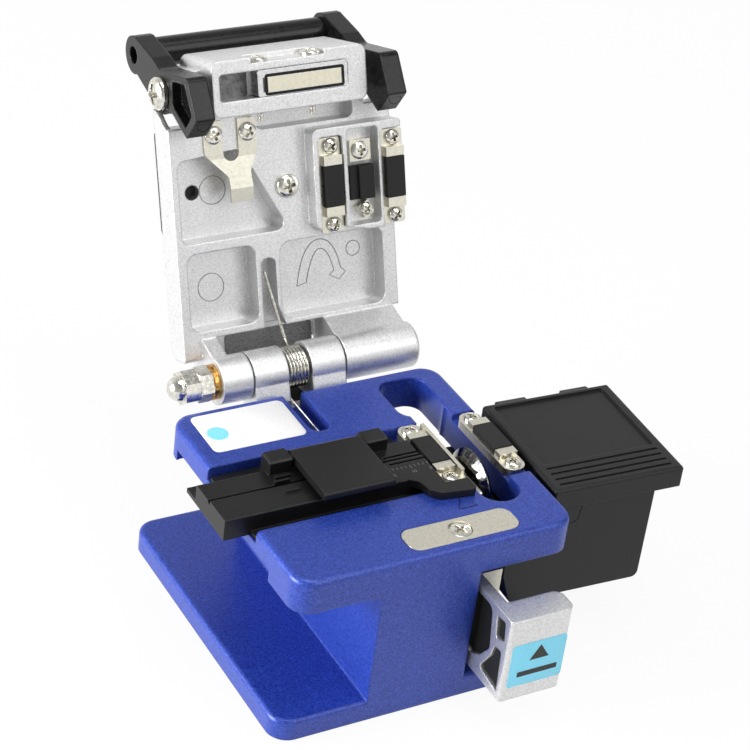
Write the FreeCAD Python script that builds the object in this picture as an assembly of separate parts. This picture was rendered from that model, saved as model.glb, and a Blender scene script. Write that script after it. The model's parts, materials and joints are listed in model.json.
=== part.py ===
import FreeCAD, Part
import math
import os

from FreeCAD import Vector

# A fibre cleaver: a cast base with a raised deck, a hinged lid with a clamping lever,
# a push slider that carries the cleaving wheel, a fibre holder and a scrap bin.
# Millimetres. x runs along the hinge from the deck's left edge, y from the deck's front
# face to the back, z up from the underside. The export moves the origin to the centre of
# the lower plate's underside. The lid and its lever are drawn closed, where y falls and z
# rises with the distance from the hinge axis ("reach") and above it ("lift"), and are then
# turned open about the hinge axis.

# ---- Driving dimensions: base casting ----
PLATE_LEFT = -1.3
PLATE_LENGTH = 64.3
PLATE_TAIL = 10.4
PLATE_THICK = 4.85
CORNER_R = 4.5
PLATE_EDGE_R = 1.0
DECK_LENGTH = 63.0
DECK_DEPTH = 60.0
DECK_TOP = 39.3
DECK_THICK = 7.55
DECK_EDGE_R = 1.2
RELIEF_THICK = 2.5
RELIEF_WIDTH = 14.0
RELIEF_FRONT = 12.0
RELIEF_SETBACK = 5.0
BLOCK_LEFT = 18.85
BLOCK_WIDTH = 22.5
CHANNEL_SETBACK = 41.4
CHANNEL_WIDTH = 22.2
CHANNEL_DEPTH = 3.0
SLOT_INSET = 5.5
SLOT_WIDTH = 9.2
SLOT_SETBACK = 49.6
WINDOW_OFFSET = 1.7
WINDOW_WIDTH = 11.1
WINDOW_SETBACK = 17.0
WINDOW_DEPTH = 13.9
WINDOW_CORNER_R = 3.5
LEG_SLOT_LEFT = 25.9
LEG_SLOT_WIDTH = 4.9
LEG_SLOT_SETBACK = 15.0
LEG_SLOT_DEPTH = 4.2
LEG_HOLE_R = 0.75

# ---- Driving dimensions: hinge ----
HINGE_BACK = 6.9
HINGE_RISE = 1.4
KNUCKLE_R = 5.1
SHAFT_R = 2.5
STUB_R = 1.8
RUNNING = 0.06
SIDE_GAP = 0.4
BASE_KNUCKLE_LEFT = 20.8
BASE_KNUCKLE_WIDTH = 7.9
SPRING_WIDTH = 5.7
LID_KNUCKLE_WIDTH = 6.9
HEX_NUT_AF = 6.8
HEX_NUT_THICK = 3.2
ACORN_R = 2.8
ACORN_LENGTH = 6.2
WASHER_R = 3.8
WASHER_THICK = 1.3
SPRING_WIRE_R = 0.36
SPRING_COIL_R = 4.2
SPRING_TURNS = 6
LEG_REACH = 20.0
LEG_LIFT = 6.4
BRACKET_THICK = 3.2
BRACKET_FOOT = 14.0
WEB_THICK = 2.0
BRACKET_SCREW_X = (25.0, 37.0)
BRACKET_SCREW_Z = 23.0
BRACKET_SHANK_R = 1.2
BRACKET_SHANK = 6.0
BRACKET_HEAD_R = 2.4
BRACKET_HEAD_H = 1.6

# ---- Driving dimensions: lid ----
OPEN_ANGLE = 109.6
LID_LEFT = 9.4
LID_INSET = 1.7
LID_FACE = 4.8
LID_THICK = 6.9
LID_HEEL = 8.1
HEEL_WALL_ROOT = 3.2
LID_WALL = 2.0
NOSE_LEFT = 17.4
NOSE_INSET = 8.1
NOSE_ROOT = 55.4
NOSE_LENGTH = 11.7
NOSE_FACE = -1.1
NOSE_BACK = 14.5
GROOVE_WIDTH = 4.4
GROOVE_DEPTH = 4.0
CENTRE_SCREW = (35.7, 38.2)
CLIP_SCREWS = ((19.3, 51.2), (27.1, 51.0))
VIEW_HOLE = (15.9, 38.65, 1.6)
COVER_RISE = 1.9
COVER_ROOT = 29.2
COVER_TIP = 53.0
COVER_GAP = 0.05
PAD_BLOCK_OFFSET = 2.3
PAD_BLOCK_WIDTH = 21.2
PAD_BLOCK_ROOT = 26.8
PAD_BLOCK_LENGTH = 23.1
PAD_BLOCK_FACE = 0.9
BAY_OFFSET = 0.3
BAY_WIDTH = 7.7
BAY_DEPTH = 3.6

# ---- Driving dimensions: lever ----
PIVOT_REACH = 60.4
PIVOT_LIFT = 9.95
ARM_WIDTH = 4.3
ARM_RING_R = 4.5
ARM_LEFT = 10.9
ARM_INSET = 1.5
ARM_GAP = 0.3
PIVOT_PIN_R = 1.5
PIVOT_HEAD_R = 3.6
PIVOT_HEAD_H = 2.3
BAR_REACH = 6.5
BAR_LIFT = 13.4
BAR_R = 3.2
BAR_BOSS_R = 4.1
BAR_HOLE_R = 1.9
LEVER_CLEAR_R = 7.0

# ---- Driving dimensions: pads, anvil, magnet and clip ----
PAD_LEFT_OFFSET = 5.4
PAD_RIGHT_OFFSET = 0.5
PAD_WIDTH = 4.3
PAD_SETBACK = 34.8
PAD_LENGTH = 8.8
PAD_TOP = 41.08
PAD_GAP = 0.25
PAD_TRAY_THICK = 1.0
TRAY_SINK = 2.2
HEAD_CLEAR = 0.5
PAD_STOP_LENGTH = 2.1
PAD_SCREW_OFFSET = 4.1
TRAY_FLOOR = 37.6
TRAY_RIM = 0.8
TRAY_SHANK = 6.0
SMALL_HEAD_R = 1.75
SMALL_HEAD_H = 0.9
SMALL_SHANK_R = 0.8
SMALL_SHANK = 3.0
BIG_HEAD_R = 2.6
BIG_HEAD_H = 1.5
ANVIL_OFFSET = 0.4
ANVIL_WIDTH = 3.6
ANVIL_ROOT = 33.3
ANVIL_LENGTH = 7.3
ANVIL_FACE = 1.5
ANVIL_TRAVEL = 1.0
ANVIL_PLATE = 0.8
MAGNET_LEFT = 30.0
MAGNET_INSET = 6.0
MAGNET_ROOT = 59.5
MAGNET_WIDTH = 3.1
MAGNET_THICK = 1.2
MAGNET_SCREW_X = (28.9, 41.1)
MAGNET_SCREW_LIFT = 1.1
MAGNET_SCREW_LENGTH = 12.5
MAGNET_HEAD_R = 2.1
NOSE_NOTCH = 1.2
BRACKET_LEFT = 27.7
BRACKET_ROOT = 58.7
BRACKET_WIDTH = 5.5
BRACKET_DEPTH = 4.3
CLIP_THICK = 0.5

# ---- Driving dimensions: keeper plate, fibre holder and its clamp ----
KEEPER_LEFT = 25.9
KEEPER_LENGTH = 25.3
KEEPER_FRONT = 1.95
KEEPER_WIDTH = 7.1
KEEPER_THICK = 1.2
KEEPER_HEAD_R = 2.5
HOLDER_LEFT = -5.6
HOLDER_FLANGE = 1.0
HOLDER_SETBACK = 38.5
HOLDER_WIDTH = 13.0
HOLDER_TOP = 41.1
HOLDER_STEP = 0.3
GROOVE_SETBACK = 31.7
FIBRE_GROOVE = 0.9
CLAMP_LEFT = 14.9
CLAMP_WIDTH = 16.0
CLAMP_TOP = 44.0
CLAMP_SETBACK = 40.8
CLAMP_DEPTH = 16.8
CLAMP_THICK = 1.7
CLAMP_HEEL = 2.6
CLAMP_PAD_GAP = 0.15
CLAMP_PIN_R = 0.8
EAR_WIDTH = 5.4
EAR_DEPTH = 4.2
EAR_OVERHANG = 2.1
LOW_FLANGE_LIP = 4.0

# ---- Driving dimensions: push slider, carriage and wheel ----
TRAVEL = 16.0
PUSH_LEFT = 42.2
PUSH_WIDTH = 14.7
PUSH_FRONT = -12.0
PUSH_BOTTOM = 7.3
PUSH_HEIGHT = 20.2
PUSH_THICK = 6.2
PUSH_WALL = 1.7
RAIL_LOW = 15.0
RAIL_HEIGHT = 7.0
RAIL_WIDTH = 2.6
RAIL_LENGTH = 37.5
RAIL_SETBACK = 2.0
RAIL_SCREW_INSET = 5.0
SLIDE_GAP = 0.1
CARRIAGE_WIDTH = 7.6
CARRIAGE_LENGTH = 39.5
WHEEL_R = 8.0
WHEEL_THICK = 2.8
WHEEL_OFFSET = 2.9
WHEEL_SETBACK = 35.6
WHEEL_PEAK = 41.5
UPRIGHT_THICK = 1.7
AXLE_HEAD_R = 2.6
AXLE_HEAD_H = 1.2
AXLE_R = 2.0

# ---- Driving dimensions: scrap bin ----
BIN_YAW = -2.85
BIN_GAP = 0.6
BIN_LID_WIDTH = 31.2
BIN_LID_FRONT = 9.6
BIN_LID_DEPTH = 32.6
BIN_LID_TOP = 39.3
BIN_SKIRT = 4.9
BIN_LENGTH = 26.0
BIN_FRONT = 11.2
BIN_DEPTH = 29.6
BIN_BOTTOM = 10.4
BIN_WALL = 1.6
BIN_NECK_INSET = 7.6
BIN_PIN_R = 1.0
BIN_EAR_GAP = 0.3

# ---- Values worked out from the driving dimensions ----
PLATE_RIGHT = PLATE_LEFT + PLATE_LENGTH
PLATE_DEPTH = DECK_DEPTH + PLATE_TAIL
CHANNEL_FRONT = DECK_DEPTH - CHANNEL_SETBACK
SLOT_FRONT = DECK_DEPTH - SLOT_SETBACK
WINDOW_FRONT = DECK_DEPTH - WINDOW_SETBACK
LEG_SLOT_FRONT = DECK_DEPTH - LEG_SLOT_SETBACK
RELIEF_BACK = DECK_DEPTH - RELIEF_SETBACK
PAD_FRONT = DECK_DEPTH - PAD_SETBACK
HOLDER_FRONT = DECK_DEPTH - HOLDER_SETBACK
GROOVE_Y = DECK_DEPTH - GROOVE_SETBACK
CLAMP_FRONT = DECK_DEPTH - CLAMP_SETBACK
WHEEL_Y = DECK_DEPTH - WHEEL_SETBACK
RAIL_BACK = DECK_DEPTH - RAIL_SETBACK
RAIL_FRONT = RAIL_BACK - RAIL_LENGTH
SLOT_RIGHT = DECK_LENGTH - SLOT_INSET
SLOT_LEFT = SLOT_RIGHT - SLOT_WIDTH
WINDOW_LEFT = SLOT_LEFT - WINDOW_OFFSET
PAD_LEFT_X = SLOT_LEFT - PAD_LEFT_OFFSET
PAD_RIGHT_X = SLOT_RIGHT + PAD_RIGHT_OFFSET
WHEEL_LEFT = SLOT_LEFT + WHEEL_OFFSET
PAD_BLOCK_LEFT = PAD_LEFT_X - PAD_BLOCK_OFFSET
BAY_LEFT = SLOT_LEFT + BAY_OFFSET
ANVIL_LEFT = WHEEL_LEFT + ANVIL_OFFSET
BIN_LID_LEFT = DECK_LENGTH + BIN_GAP
BIN_RIGHT = BIN_LID_LEFT + BIN_LENGTH
BIN_NECK = DECK_LENGTH - BIN_NECK_INSET
DECK_UNDER = DECK_TOP - DECK_THICK
BLOCK_RIGHT = BLOCK_LEFT + BLOCK_WIDTH
CHANNEL_FLOOR = DECK_TOP - CHANNEL_DEPTH
CHANNEL_BACK = CHANNEL_FRONT + CHANNEL_WIDTH
HINGE_Y = DECK_DEPTH + HINGE_BACK
HINGE_Z = DECK_TOP + HINGE_RISE
HINGE_AT = Vector(0, HINGE_Y, HINGE_Z)
SPRING_LEFT = BASE_KNUCKLE_LEFT + BASE_KNUCKLE_WIDTH
RIGHT_BASE_KNUCKLE = SPRING_LEFT + SPRING_WIDTH
BRACKET_RIGHT = RIGHT_BASE_KNUCKLE + BASE_KNUCKLE_WIDTH
LID_RIGHT = DECK_LENGTH - LID_INSET
LID_WIDTH = LID_RIGHT - LID_LEFT
LID_BACK = LID_FACE + LID_THICK
NOSE_RIGHT = LID_RIGHT - NOSE_INSET
MAGNET_LENGTH = NOSE_RIGHT - MAGNET_INSET - MAGNET_LEFT
NOSE_TIP = NOSE_ROOT + NOSE_LENGTH
LID_LEFT_KNUCKLE = BASE_KNUCKLE_LEFT - SIDE_GAP - LID_KNUCKLE_WIDTH
LID_RIGHT_KNUCKLE = BRACKET_RIGHT + SIDE_GAP
PAD_BLOCK_RIGHT = PAD_BLOCK_LEFT + PAD_BLOCK_WIDTH
PAD_BLOCK_TIP = PAD_BLOCK_ROOT + PAD_BLOCK_LENGTH
PAD_BACK = PAD_FRONT + PAD_LENGTH
LID_PAD_FACE = PAD_TOP + PAD_GAP - HINGE_Z
ARM_RIGHT = LID_RIGHT - ARM_INSET
ARM_SPAN = ARM_RIGHT - ARM_LEFT
LOW_FLANGE_BACK = HOLDER_FRONT + HOLDER_WIDTH + LOW_FLANGE_LIP
HOLDER_BACK = HOLDER_FRONT + HOLDER_WIDTH
WHEEL_Z = WHEEL_PEAK - WHEEL_R
PAD_SCREW_Y = (PAD_FRONT - PAD_SCREW_OFFSET, PAD_BACK + PAD_SCREW_OFFSET)
PAD_X = (PAD_LEFT_X, PAD_RIGHT_X)
RAIL_SCREW_Y = (RAIL_FRONT + RAIL_SCREW_INSET, RAIL_BACK - RAIL_SCREW_INSET)
KEEPER_SCREW = (KEEPER_LEFT + KEEPER_LENGTH / 2, KEEPER_FRONT + KEEPER_WIDTH / 2)
WASHER_LEFT = LID_LEFT_KNUCKLE - RUNNING - WASHER_THICK
HEX_LEFT = WASHER_LEFT - HEX_NUT_THICK
ACORN_LEFT = HEX_LEFT - ACORN_LENGTH
SHAFT_LEFT = HEX_LEFT - ACORN_LENGTH / 2
SHAFT_RIGHT = LID_RIGHT - SHAFT_R
COIL_PITCH = (SPRING_WIDTH - 2 * SPRING_WIRE_R - 0.2) / (SPRING_TURNS + 0.2)
COIL_LEFT = SPRING_LEFT + SPRING_WIRE_R + 0.1
ARM_BANDS = [(ARM_LEFT - ARM_GAP, ARM_LEFT + ARM_WIDTH + ARM_GAP),
             (ARM_RIGHT - ARM_WIDTH - ARM_GAP, ARM_RIGHT + ARM_GAP)]
YOKE_ROOT = PIVOT_REACH - LEVER_CLEAR_R
POCKET_FLOOR = LID_BACK - LID_WALL
BAY_FLOOR = PAD_BLOCK_FACE + BAY_DEPTH
ANVIL_SCREWS = ((BAY_LEFT + 3.8, 43.9), (BAY_LEFT + 4.6, 31.0))
BRACKET_LENGTH = NOSE_RIGHT - MAGNET_INSET + 1.5 - BRACKET_LEFT
CLIP_LOW = CLAMP_TOP + PAD_GAP + CLIP_THICK / 2 - HINGE_Z
TRAY_SEAT = PAD_BLOCK_FACE + TRAY_SINK
LID_TRAY_TOP = TRAY_SEAT - PAD_TRAY_THICK
ANVIL_SEAT = BAY_FLOOR - 1.2
BASE_TRAY_TOP = PAD_TOP - 1.5
HOLDER_RIGHT = PAD_LEFT_X - 0.7
EAR_LEFTS = (CLAMP_LEFT - 0.2 - EAR_WIDTH, CLAMP_LEFT + CLAMP_WIDTH + 0.2)
CLAMP_UNDER = CLAMP_TOP - CLAMP_THICK
CLAMP_PIN_Y = CLAMP_FRONT + CLAMP_DEPTH - 1.7
CLAMP_PIN_Z = CLAMP_TOP - CLAMP_HEEL / 2
EAR_BACK = HOLDER_BACK + EAR_OVERHANG
RIDGES = ((9.8, GROOVE_Y + 2.3), (9.0, GROOVE_Y + 0.9), (9.6, GROOVE_Y - 2.7))
PUSH_RIGHT = PUSH_LEFT + PUSH_WIDTH
PUSH_TOP = PUSH_BOTTOM + PUSH_HEIGHT
ARM_X = PUSH_LEFT + 2.4
CARRIAGE_FRONT = PUSH_FRONT + TRAVEL
UPRIGHT_LEFT = SLOT_LEFT + 0.4
UPRIGHT_TOP = WHEEL_Z + 4.2
BIN_LID_RIGHT = BIN_LID_LEFT + BIN_LID_WIDTH
BIN_LID_BACK = BIN_LID_FRONT + BIN_LID_DEPTH
BIN_LID_UNDER = BIN_LID_TOP - BIN_SKIRT
BIN_TOP = BIN_LID_UNDER - 0.2
BIN_NECK_TOP = DECK_UNDER - 0.85
BIN_RISER = DECK_LENGTH + 0.3
BIN_BACK = BIN_FRONT + BIN_DEPTH
BIN_PIN_Y = BIN_LID_BACK + 0.3
BIN_PIN_Z = BIN_LID_UNDER + 2.0
BIN_HUMPS = ((BIN_LID_LEFT + 4.2, 6.9), (BIN_LID_LEFT + 20.2, 6.3))
ORIGIN = Vector(PLATE_LEFT + PLATE_LENGTH / 2, PLATE_DEPTH / 2, 0)

X = Vector(1, 0, 0)
Y = Vector(0, 1, 0)
Z = Vector(0, 0, 1)


# ---- Outlines and solids ----
def unit(vector):
    return vector * (1.0 / vector.Length)


def corner(before, here, after):
    """One point of a sharp corner, or start, middle and end of a rounded one."""
    at = Vector(here[0], here[1], 0)
    if len(here) < 3 or here[2] <= 0:
        return [at]
    back = Vector(before[0], before[1], 0) - at
    ahead = Vector(after[0], after[1], 0) - at
    shorter = min(back.Length, ahead.Length)
    back = unit(back)
    ahead = unit(ahead)
    half = back.getAngle(ahead) / 2
    setback = min(here[2] / math.tan(half), 0.499 * shorter)
    radius = setback * math.tan(half)
    centre = at + unit(back + ahead) * (radius / math.sin(half))
    return [at + back * setback, centre + unit(at - centre) * radius, at + ahead * setback]


def wire(points, place):
    """A closed wire through (a, b) or (a, b, corner radius), put in space by place(a, b)."""
    corners = []
    for index, here in enumerate(points):
        corners.append(corner(points[index - 1], here, points[(index + 1) % len(points)]))
    edges = []
    for index, here in enumerate(corners):
        if len(here) == 3:
            edges.append(Part.Arc(*[place(p.x, p.y) for p in here]).toShape())
        leave = here[-1]
        enter = corners[(index + 1) % len(corners)][0]
        if leave.distanceToPoint(enter) > 1e-4:
            edges.append(Part.LineSegment(place(leave.x, leave.y), place(enter.x, enter.y)).toShape())
    return Part.Wire(edges)


def flat(points, low, high):
    """A solid whose outline lies in x, y."""
    outline = wire(points, lambda a, b: Vector(a, b, low))
    return Part.Face(outline).extrude(Vector(0, 0, high - low))


def side(points, left, right):
    """A solid whose outline lies in y, z."""
    outline = wire(points, lambda a, b: Vector(left, a, b))
    return Part.Face(outline).extrude(Vector(right - left, 0, 0))


def facing(points, near, far):
    """A solid whose outline lies in x, z."""
    outline = wire(points, lambda a, b: Vector(a, near, b))
    return Part.Face(outline).extrude(Vector(0, far - near, 0))


def rect(a0, a1, b0, b1, radius=0.0):
    return [(a0, b0, radius), (a1, b0, radius), (a1, b1, radius), (a0, b1, radius)]


def box(x0, x1, y0, y1, z0, z1):
    return Part.makeBox(x1 - x0, y1 - y0, z1 - z0, Vector(x0, y0, z0))


def rod(start, axis, length, radius):
    return Part.makeCylinder(radius, length, start, axis)


def join(shapes):
    whole = shapes[0].fuse(shapes[1:]) if len(shapes) > 1 else shapes[0]
    return whole.removeSplitter()


def cut(shape, tools):
    return shape.cut(tools).removeSplitter() if tools else shape


def edges_at(shape, level, tolerance=0.01):
    """Every edge that lies wholly at height z = level."""
    found = []
    for edge in shape.Edges:
        bound = edge.BoundBox
        if abs(bound.ZMin - level) < tolerance and abs(bound.ZMax - level) < tolerance:
            found.append(edge)
    return found


# ---- The closed lid's own measures ----
def at_reach(reach):
    return HINGE_Y - reach


def at_lift(lift):
    return HINGE_Z + lift


def lid_flat(points, low, high):
    """A solid drawn in x and reach, between two lifts."""
    turned = [(p[0], at_reach(p[1])) + tuple(p[2:]) for p in points]
    return flat(turned, at_lift(low), at_lift(high))


def lid_side(points, left, right):
    """A solid drawn in reach and lift, between two x."""
    turned = [(at_reach(p[0]), at_lift(p[1])) + tuple(p[2:]) for p in points]
    return side(turned, left, right)


def lid_rod(x, reach, low, high, radius):
    return rod(Vector(x, at_reach(reach), at_lift(low)), Z, high - low, radius)


def opened(shape):
    turned = shape.copy()
    turned.rotate(HINGE_AT, X, -OPEN_ANGLE)
    return turned


# ---- Fasteners ----
def pan_screw(seat, axis, head_r, head_h, shank_r, shank):
    """A domed head that stands on seat along axis, with its shank behind it."""
    head = rod(seat, axis, head_h, head_r)
    closed = [edge for edge in head.Edges if edge.Closed]
    rim = [edge for edge in closed if abs((edge.CenterOfMass - seat).dot(axis) - head_h) < 0.01]
    head = head.makeChamfer(head_h * 0.45, rim)
    return head.fuse(rod(seat, -axis, shank, shank_r)).removeSplitter()


def screw_hole(seat, axis, shank_r, shank):
    return rod(seat, -axis, shank + 0.2, shank_r + 0.02)


# ---- Base casting ----
def base_casting():
    plate = flat(rect(PLATE_LEFT, PLATE_RIGHT, 0, PLATE_DEPTH, CORNER_R), 0, PLATE_THICK)
    plate = plate.makeFillet(PLATE_EDGE_R, edges_at(plate, PLATE_THICK))
    deck = flat(rect(0, DECK_LENGTH, 0, DECK_DEPTH, CORNER_R), DECK_UNDER, DECK_TOP)
    deck = deck.makeFillet(DECK_EDGE_R, edges_at(deck, DECK_TOP))
    block = box(BLOCK_LEFT, BLOCK_RIGHT, 0, DECK_DEPTH, PLATE_THICK / 2, DECK_UNDER + 1)
    body = join([plate, block, deck])
    tools = [
        flat(rect(-1, RELIEF_WIDTH, RELIEF_FRONT, RELIEF_BACK, 2.0), DECK_UNDER - 1,
             DECK_UNDER + RELIEF_THICK),
        flat(rect(-1, SLOT_LEFT + 1, CHANNEL_FRONT, CHANNEL_BACK), CHANNEL_FLOOR, DECK_TOP + 1),
        flat(rect(SLOT_LEFT, SLOT_RIGHT, SLOT_FRONT, WINDOW_FRONT + 5, SLOT_WIDTH / 2), DECK_UNDER - 1,
             DECK_TOP + 1),
        flat(rect(WINDOW_LEFT, WINDOW_LEFT + WINDOW_WIDTH, WINDOW_FRONT, WINDOW_FRONT + WINDOW_DEPTH,
                  WINDOW_CORNER_R), DECK_UNDER - 1, DECK_TOP + 1),
        flat([(LEG_SLOT_LEFT, DECK_DEPTH + 1), (LEG_SLOT_LEFT, LEG_SLOT_FRONT, 2.3),
              (LEG_SLOT_LEFT + LEG_SLOT_WIDTH, LEG_SLOT_FRONT, 2.3), (LEG_SLOT_LEFT + LEG_SLOT_WIDTH,
                                                                      DECK_DEPTH + 1)],
             DECK_TOP - LEG_SLOT_DEPTH, DECK_TOP + 1),
        rod(Vector(LEG_SLOT_LEFT + 1.2, LEG_SLOT_FRONT + 1.7, DECK_TOP - LEG_SLOT_DEPTH - 3), Z, 4,
            LEG_HOLE_R),
        flat(rect(KEEPER_LEFT, KEEPER_LEFT + KEEPER_LENGTH, KEEPER_FRONT, KEEPER_FRONT + KEEPER_WIDTH,
                  2.5),
             DECK_TOP - KEEPER_THICK, DECK_TOP + 1),
        flat(rect(SLOT_RIGHT - 1, DECK_LENGTH + 1, PAD_SCREW_Y[0] - 3.2, PAD_SCREW_Y[1] + 3.2),
             TRAY_FLOOR,
             DECK_TOP + 1),
        screw_hole(Vector(*KEEPER_SCREW, DECK_TOP - KEEPER_THICK), Z, SMALL_SHANK_R, SMALL_SHANK),
    ]
    for x in PAD_X:
        for y in PAD_SCREW_Y:
            tools.append(screw_hole(Vector(x + PAD_WIDTH / 2, y, DECK_TOP), Z, SMALL_SHANK_R, TRAY_SHANK))
    for x in BRACKET_SCREW_X:
        tools.append(screw_hole(Vector(x, DECK_DEPTH, BRACKET_SCREW_Z), Y, BRACKET_SHANK_R,
                                BRACKET_SHANK))
    for y in RAIL_SCREW_Y:
        tools.append(screw_hole(Vector(BLOCK_RIGHT, y, RAIL_LOW + RAIL_HEIGHT / 2), X, SMALL_SHANK_R,
                                SMALL_SHANK))
    return cut(body, tools)


# ---- Hinge ----
def hinge_bracket():
    """A plate on the block's back with two knuckles that stand up behind the deck."""
    parts = [box(BASE_KNUCKLE_LEFT, BRACKET_RIGHT, DECK_DEPTH, DECK_DEPTH + BRACKET_THICK, BRACKET_FOOT,
                 DECK_UNDER)]
    for left in (BASE_KNUCKLE_LEFT, RIGHT_BASE_KNUCKLE):
        arm = [(DECK_DEPTH, DECK_UNDER - 1), (DECK_DEPTH + BRACKET_THICK, DECK_UNDER - 1),
               (HINGE_Y + KNUCKLE_R * 0.94, HINGE_Z - KNUCKLE_R * 0.34), (HINGE_Y, HINGE_Z),
               (HINGE_Y - KNUCKLE_R, HINGE_Z), (DECK_DEPTH, DECK_TOP - DECK_EDGE_R * 2)]
        parts.append(side(arm, left, left + BASE_KNUCKLE_WIDTH))
        parts.append(rod(Vector(left, HINGE_Y, HINGE_Z), X, BASE_KNUCKLE_WIDTH, KNUCKLE_R))
    web_top = DECK_TOP - LEG_SLOT_DEPTH
    parts.append(box(SPRING_LEFT - 1, RIGHT_BASE_KNUCKLE + 1, DECK_DEPTH, DECK_DEPTH + WEB_THICK,
                     DECK_UNDER - 1, web_top))
    tools = [rod(Vector(0, HINGE_Y, HINGE_Z), X, DECK_LENGTH, SHAFT_R)]
    for x in BRACKET_SCREW_X:
        tools.append(rod(Vector(x, DECK_DEPTH - 1, BRACKET_SCREW_Z), Y, BRACKET_THICK + 2,
                         BRACKET_SHANK_R + 0.02))
    return cut(join(parts), tools)


def bracket_screws():
    seats = [Vector(x, DECK_DEPTH + BRACKET_THICK, BRACKET_SCREW_Z) for x in BRACKET_SCREW_X]
    shank = BRACKET_THICK + BRACKET_SHANK
    return [pan_screw(seat, Y, BRACKET_HEAD_R, BRACKET_HEAD_H, BRACKET_SHANK_R, shank) for seat in seats]


def hinge_shaft():
    """A plain shaft with a thinner stub at its left end for the washer and the nuts."""
    stub = rod(Vector(SHAFT_LEFT, HINGE_Y, HINGE_Z), X, LID_LEFT_KNUCKLE - SHAFT_LEFT + 1, STUB_R)
    return join([stub, rod(Vector(LID_LEFT_KNUCKLE, HINGE_Y, HINGE_Z), X,
                           SHAFT_RIGHT - LID_LEFT_KNUCKLE, SHAFT_R)])


def stub_bore(left, right):
    return rod(Vector(left, HINGE_Y, HINGE_Z), X, right - left, STUB_R)


def hinge_washer():
    ring = rod(Vector(WASHER_LEFT, HINGE_Y, HINGE_Z), X, WASHER_THICK, WASHER_R)
    return cut(ring, [stub_bore(WASHER_LEFT - 1, LID_LEFT_KNUCKLE)])


def lock_nut():
    corner_r = HEX_NUT_AF / math.sqrt(3)
    hexagon = [(HINGE_Y + corner_r * math.cos(math.radians(60 * n)),
                HINGE_Z + corner_r * math.sin(math.radians(60 * n))) for n in range(6)]
    nut = side(hexagon, HEX_LEFT, HEX_LEFT + HEX_NUT_THICK)
    chamfered = rod(Vector(HEX_LEFT, HINGE_Y, HINGE_Z), X, HEX_NUT_THICK, corner_r)
    rims = [edge for edge in chamfered.Edges if edge.Closed]
    nut = nut.common(chamfered.makeChamfer(0.35, rims))
    return cut(nut, [stub_bore(HEX_LEFT - 1, HEX_LEFT + HEX_NUT_THICK + 1)])


def acorn_nut():
    """A domed nut: a hexagon foot that carries a half ball."""
    foot = ACORN_LENGTH - ACORN_R
    corner_r = HEX_NUT_AF / math.sqrt(3)
    hexagon = [(HINGE_Y + corner_r * math.cos(math.radians(60 * n + 20)),
                HINGE_Z + corner_r * math.sin(math.radians(60 * n + 20))) for n in range(6)]
    hex_part = side(hexagon, HEX_LEFT - foot, HEX_LEFT)
    dome = Part.makeSphere(ACORN_R, Vector(HEX_LEFT - foot, HINGE_Y, HINGE_Z))
    dome = dome.common(box(ACORN_LEFT - 1, HEX_LEFT - foot / 2, HINGE_Y - 9, HINGE_Y + 9, HINGE_Z - 9,
                           HINGE_Z + 9))
    return cut(join([hex_part, dome]), [stub_bore(SHAFT_LEFT, HEX_LEFT + 1)])


def torsion_spring():
    """A coil about the hinge shaft with a leg along the deck slot and a leg in the lid slot."""
    turns = SPRING_TURNS + (180 - OPEN_ANGLE) / 360
    helix = Part.Wire(Part.makeHelix(COIL_PITCH, COIL_PITCH * turns, SPRING_COIL_R).Edges)
    section = Part.Wire(Part.makeCircle(SPRING_WIRE_R, Vector(SPRING_COIL_R, 0, 0), Y))
    coil = helix.makePipeShell([section], True, True)
    coil.rotate(Vector(0, 0, 0), Y, 90)
    coil.translate(Vector(COIL_LEFT, HINGE_Y, HINGE_Z))
    foot = Vector(COIL_LEFT, HINGE_Y, HINGE_Z - SPRING_COIL_R)
    low_leg = rod(foot, -Y, HINGE_BACK + DECK_DEPTH - LEG_SLOT_FRONT - 1.5, SPRING_WIRE_R)
    root = opened_point(COIL_LEFT + COIL_PITCH * turns, 0, SPRING_COIL_R)
    tip = opened_point(LEG_SLOT_LEFT + LEG_SLOT_WIDTH - 0.9, LEG_REACH, LEG_LIFT)
    high_leg = rod(root, tip - root, (tip - root).Length, SPRING_WIRE_R)
    knee = Part.makeSphere(SPRING_WIRE_R, root)
    ankle = Part.makeSphere(SPRING_WIRE_R, foot)
    return join([coil, ankle, low_leg, knee, high_leg])


def opened_point(x, reach, lift):
    """Where a point of the closed lid lies once the lid is open."""
    angle = math.radians(-OPEN_ANGLE)
    back = -reach
    return Vector(x, HINGE_Y + back * math.cos(angle) - lift * math.sin(angle),
                  HINGE_Z + back * math.sin(angle) + lift * math.cos(angle))


# ---- Lid ----


def pivot(x):
    return Vector(x, at_reach(PIVOT_REACH), at_lift(PIVOT_LIFT))


def arm_relief(left, right):
    """Room in the lid for one arm of the lever over its whole swing."""
    notch = [(48.6, NOSE_BACK + 3), (48.6, NOSE_BACK + 0.9), (YOKE_ROOT + 0.2, 8.8), (NOSE_TIP + 3, 8.8),
             (NOSE_TIP + 3, NOSE_BACK + 3)]
    front = [(YOKE_ROOT, LID_FACE - 9), (NOSE_TIP + 3, LID_FACE - 9), (NOSE_TIP + 3, 9), (YOKE_ROOT, 9)]
    round_part = rod(pivot(left), X, right - left, LEVER_CLEAR_R)
    return join([lid_side(notch, left, right), lid_side(front, left, right), round_part])


def lid_side_wall(left, right):
    """A thin outer wall beside the slot of an arm, hollowed round the pivot."""
    outline = [(YOKE_ROOT - 3, LID_FACE), (YOKE_ROOT - 1, LID_FACE), (54.3, 7.7, 1.0), (56.0, 9.5, 1.5),
               (57.0, LID_BACK), (YOKE_ROOT - 3, LID_BACK)]
    return lid_side(outline, left, right)


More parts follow.
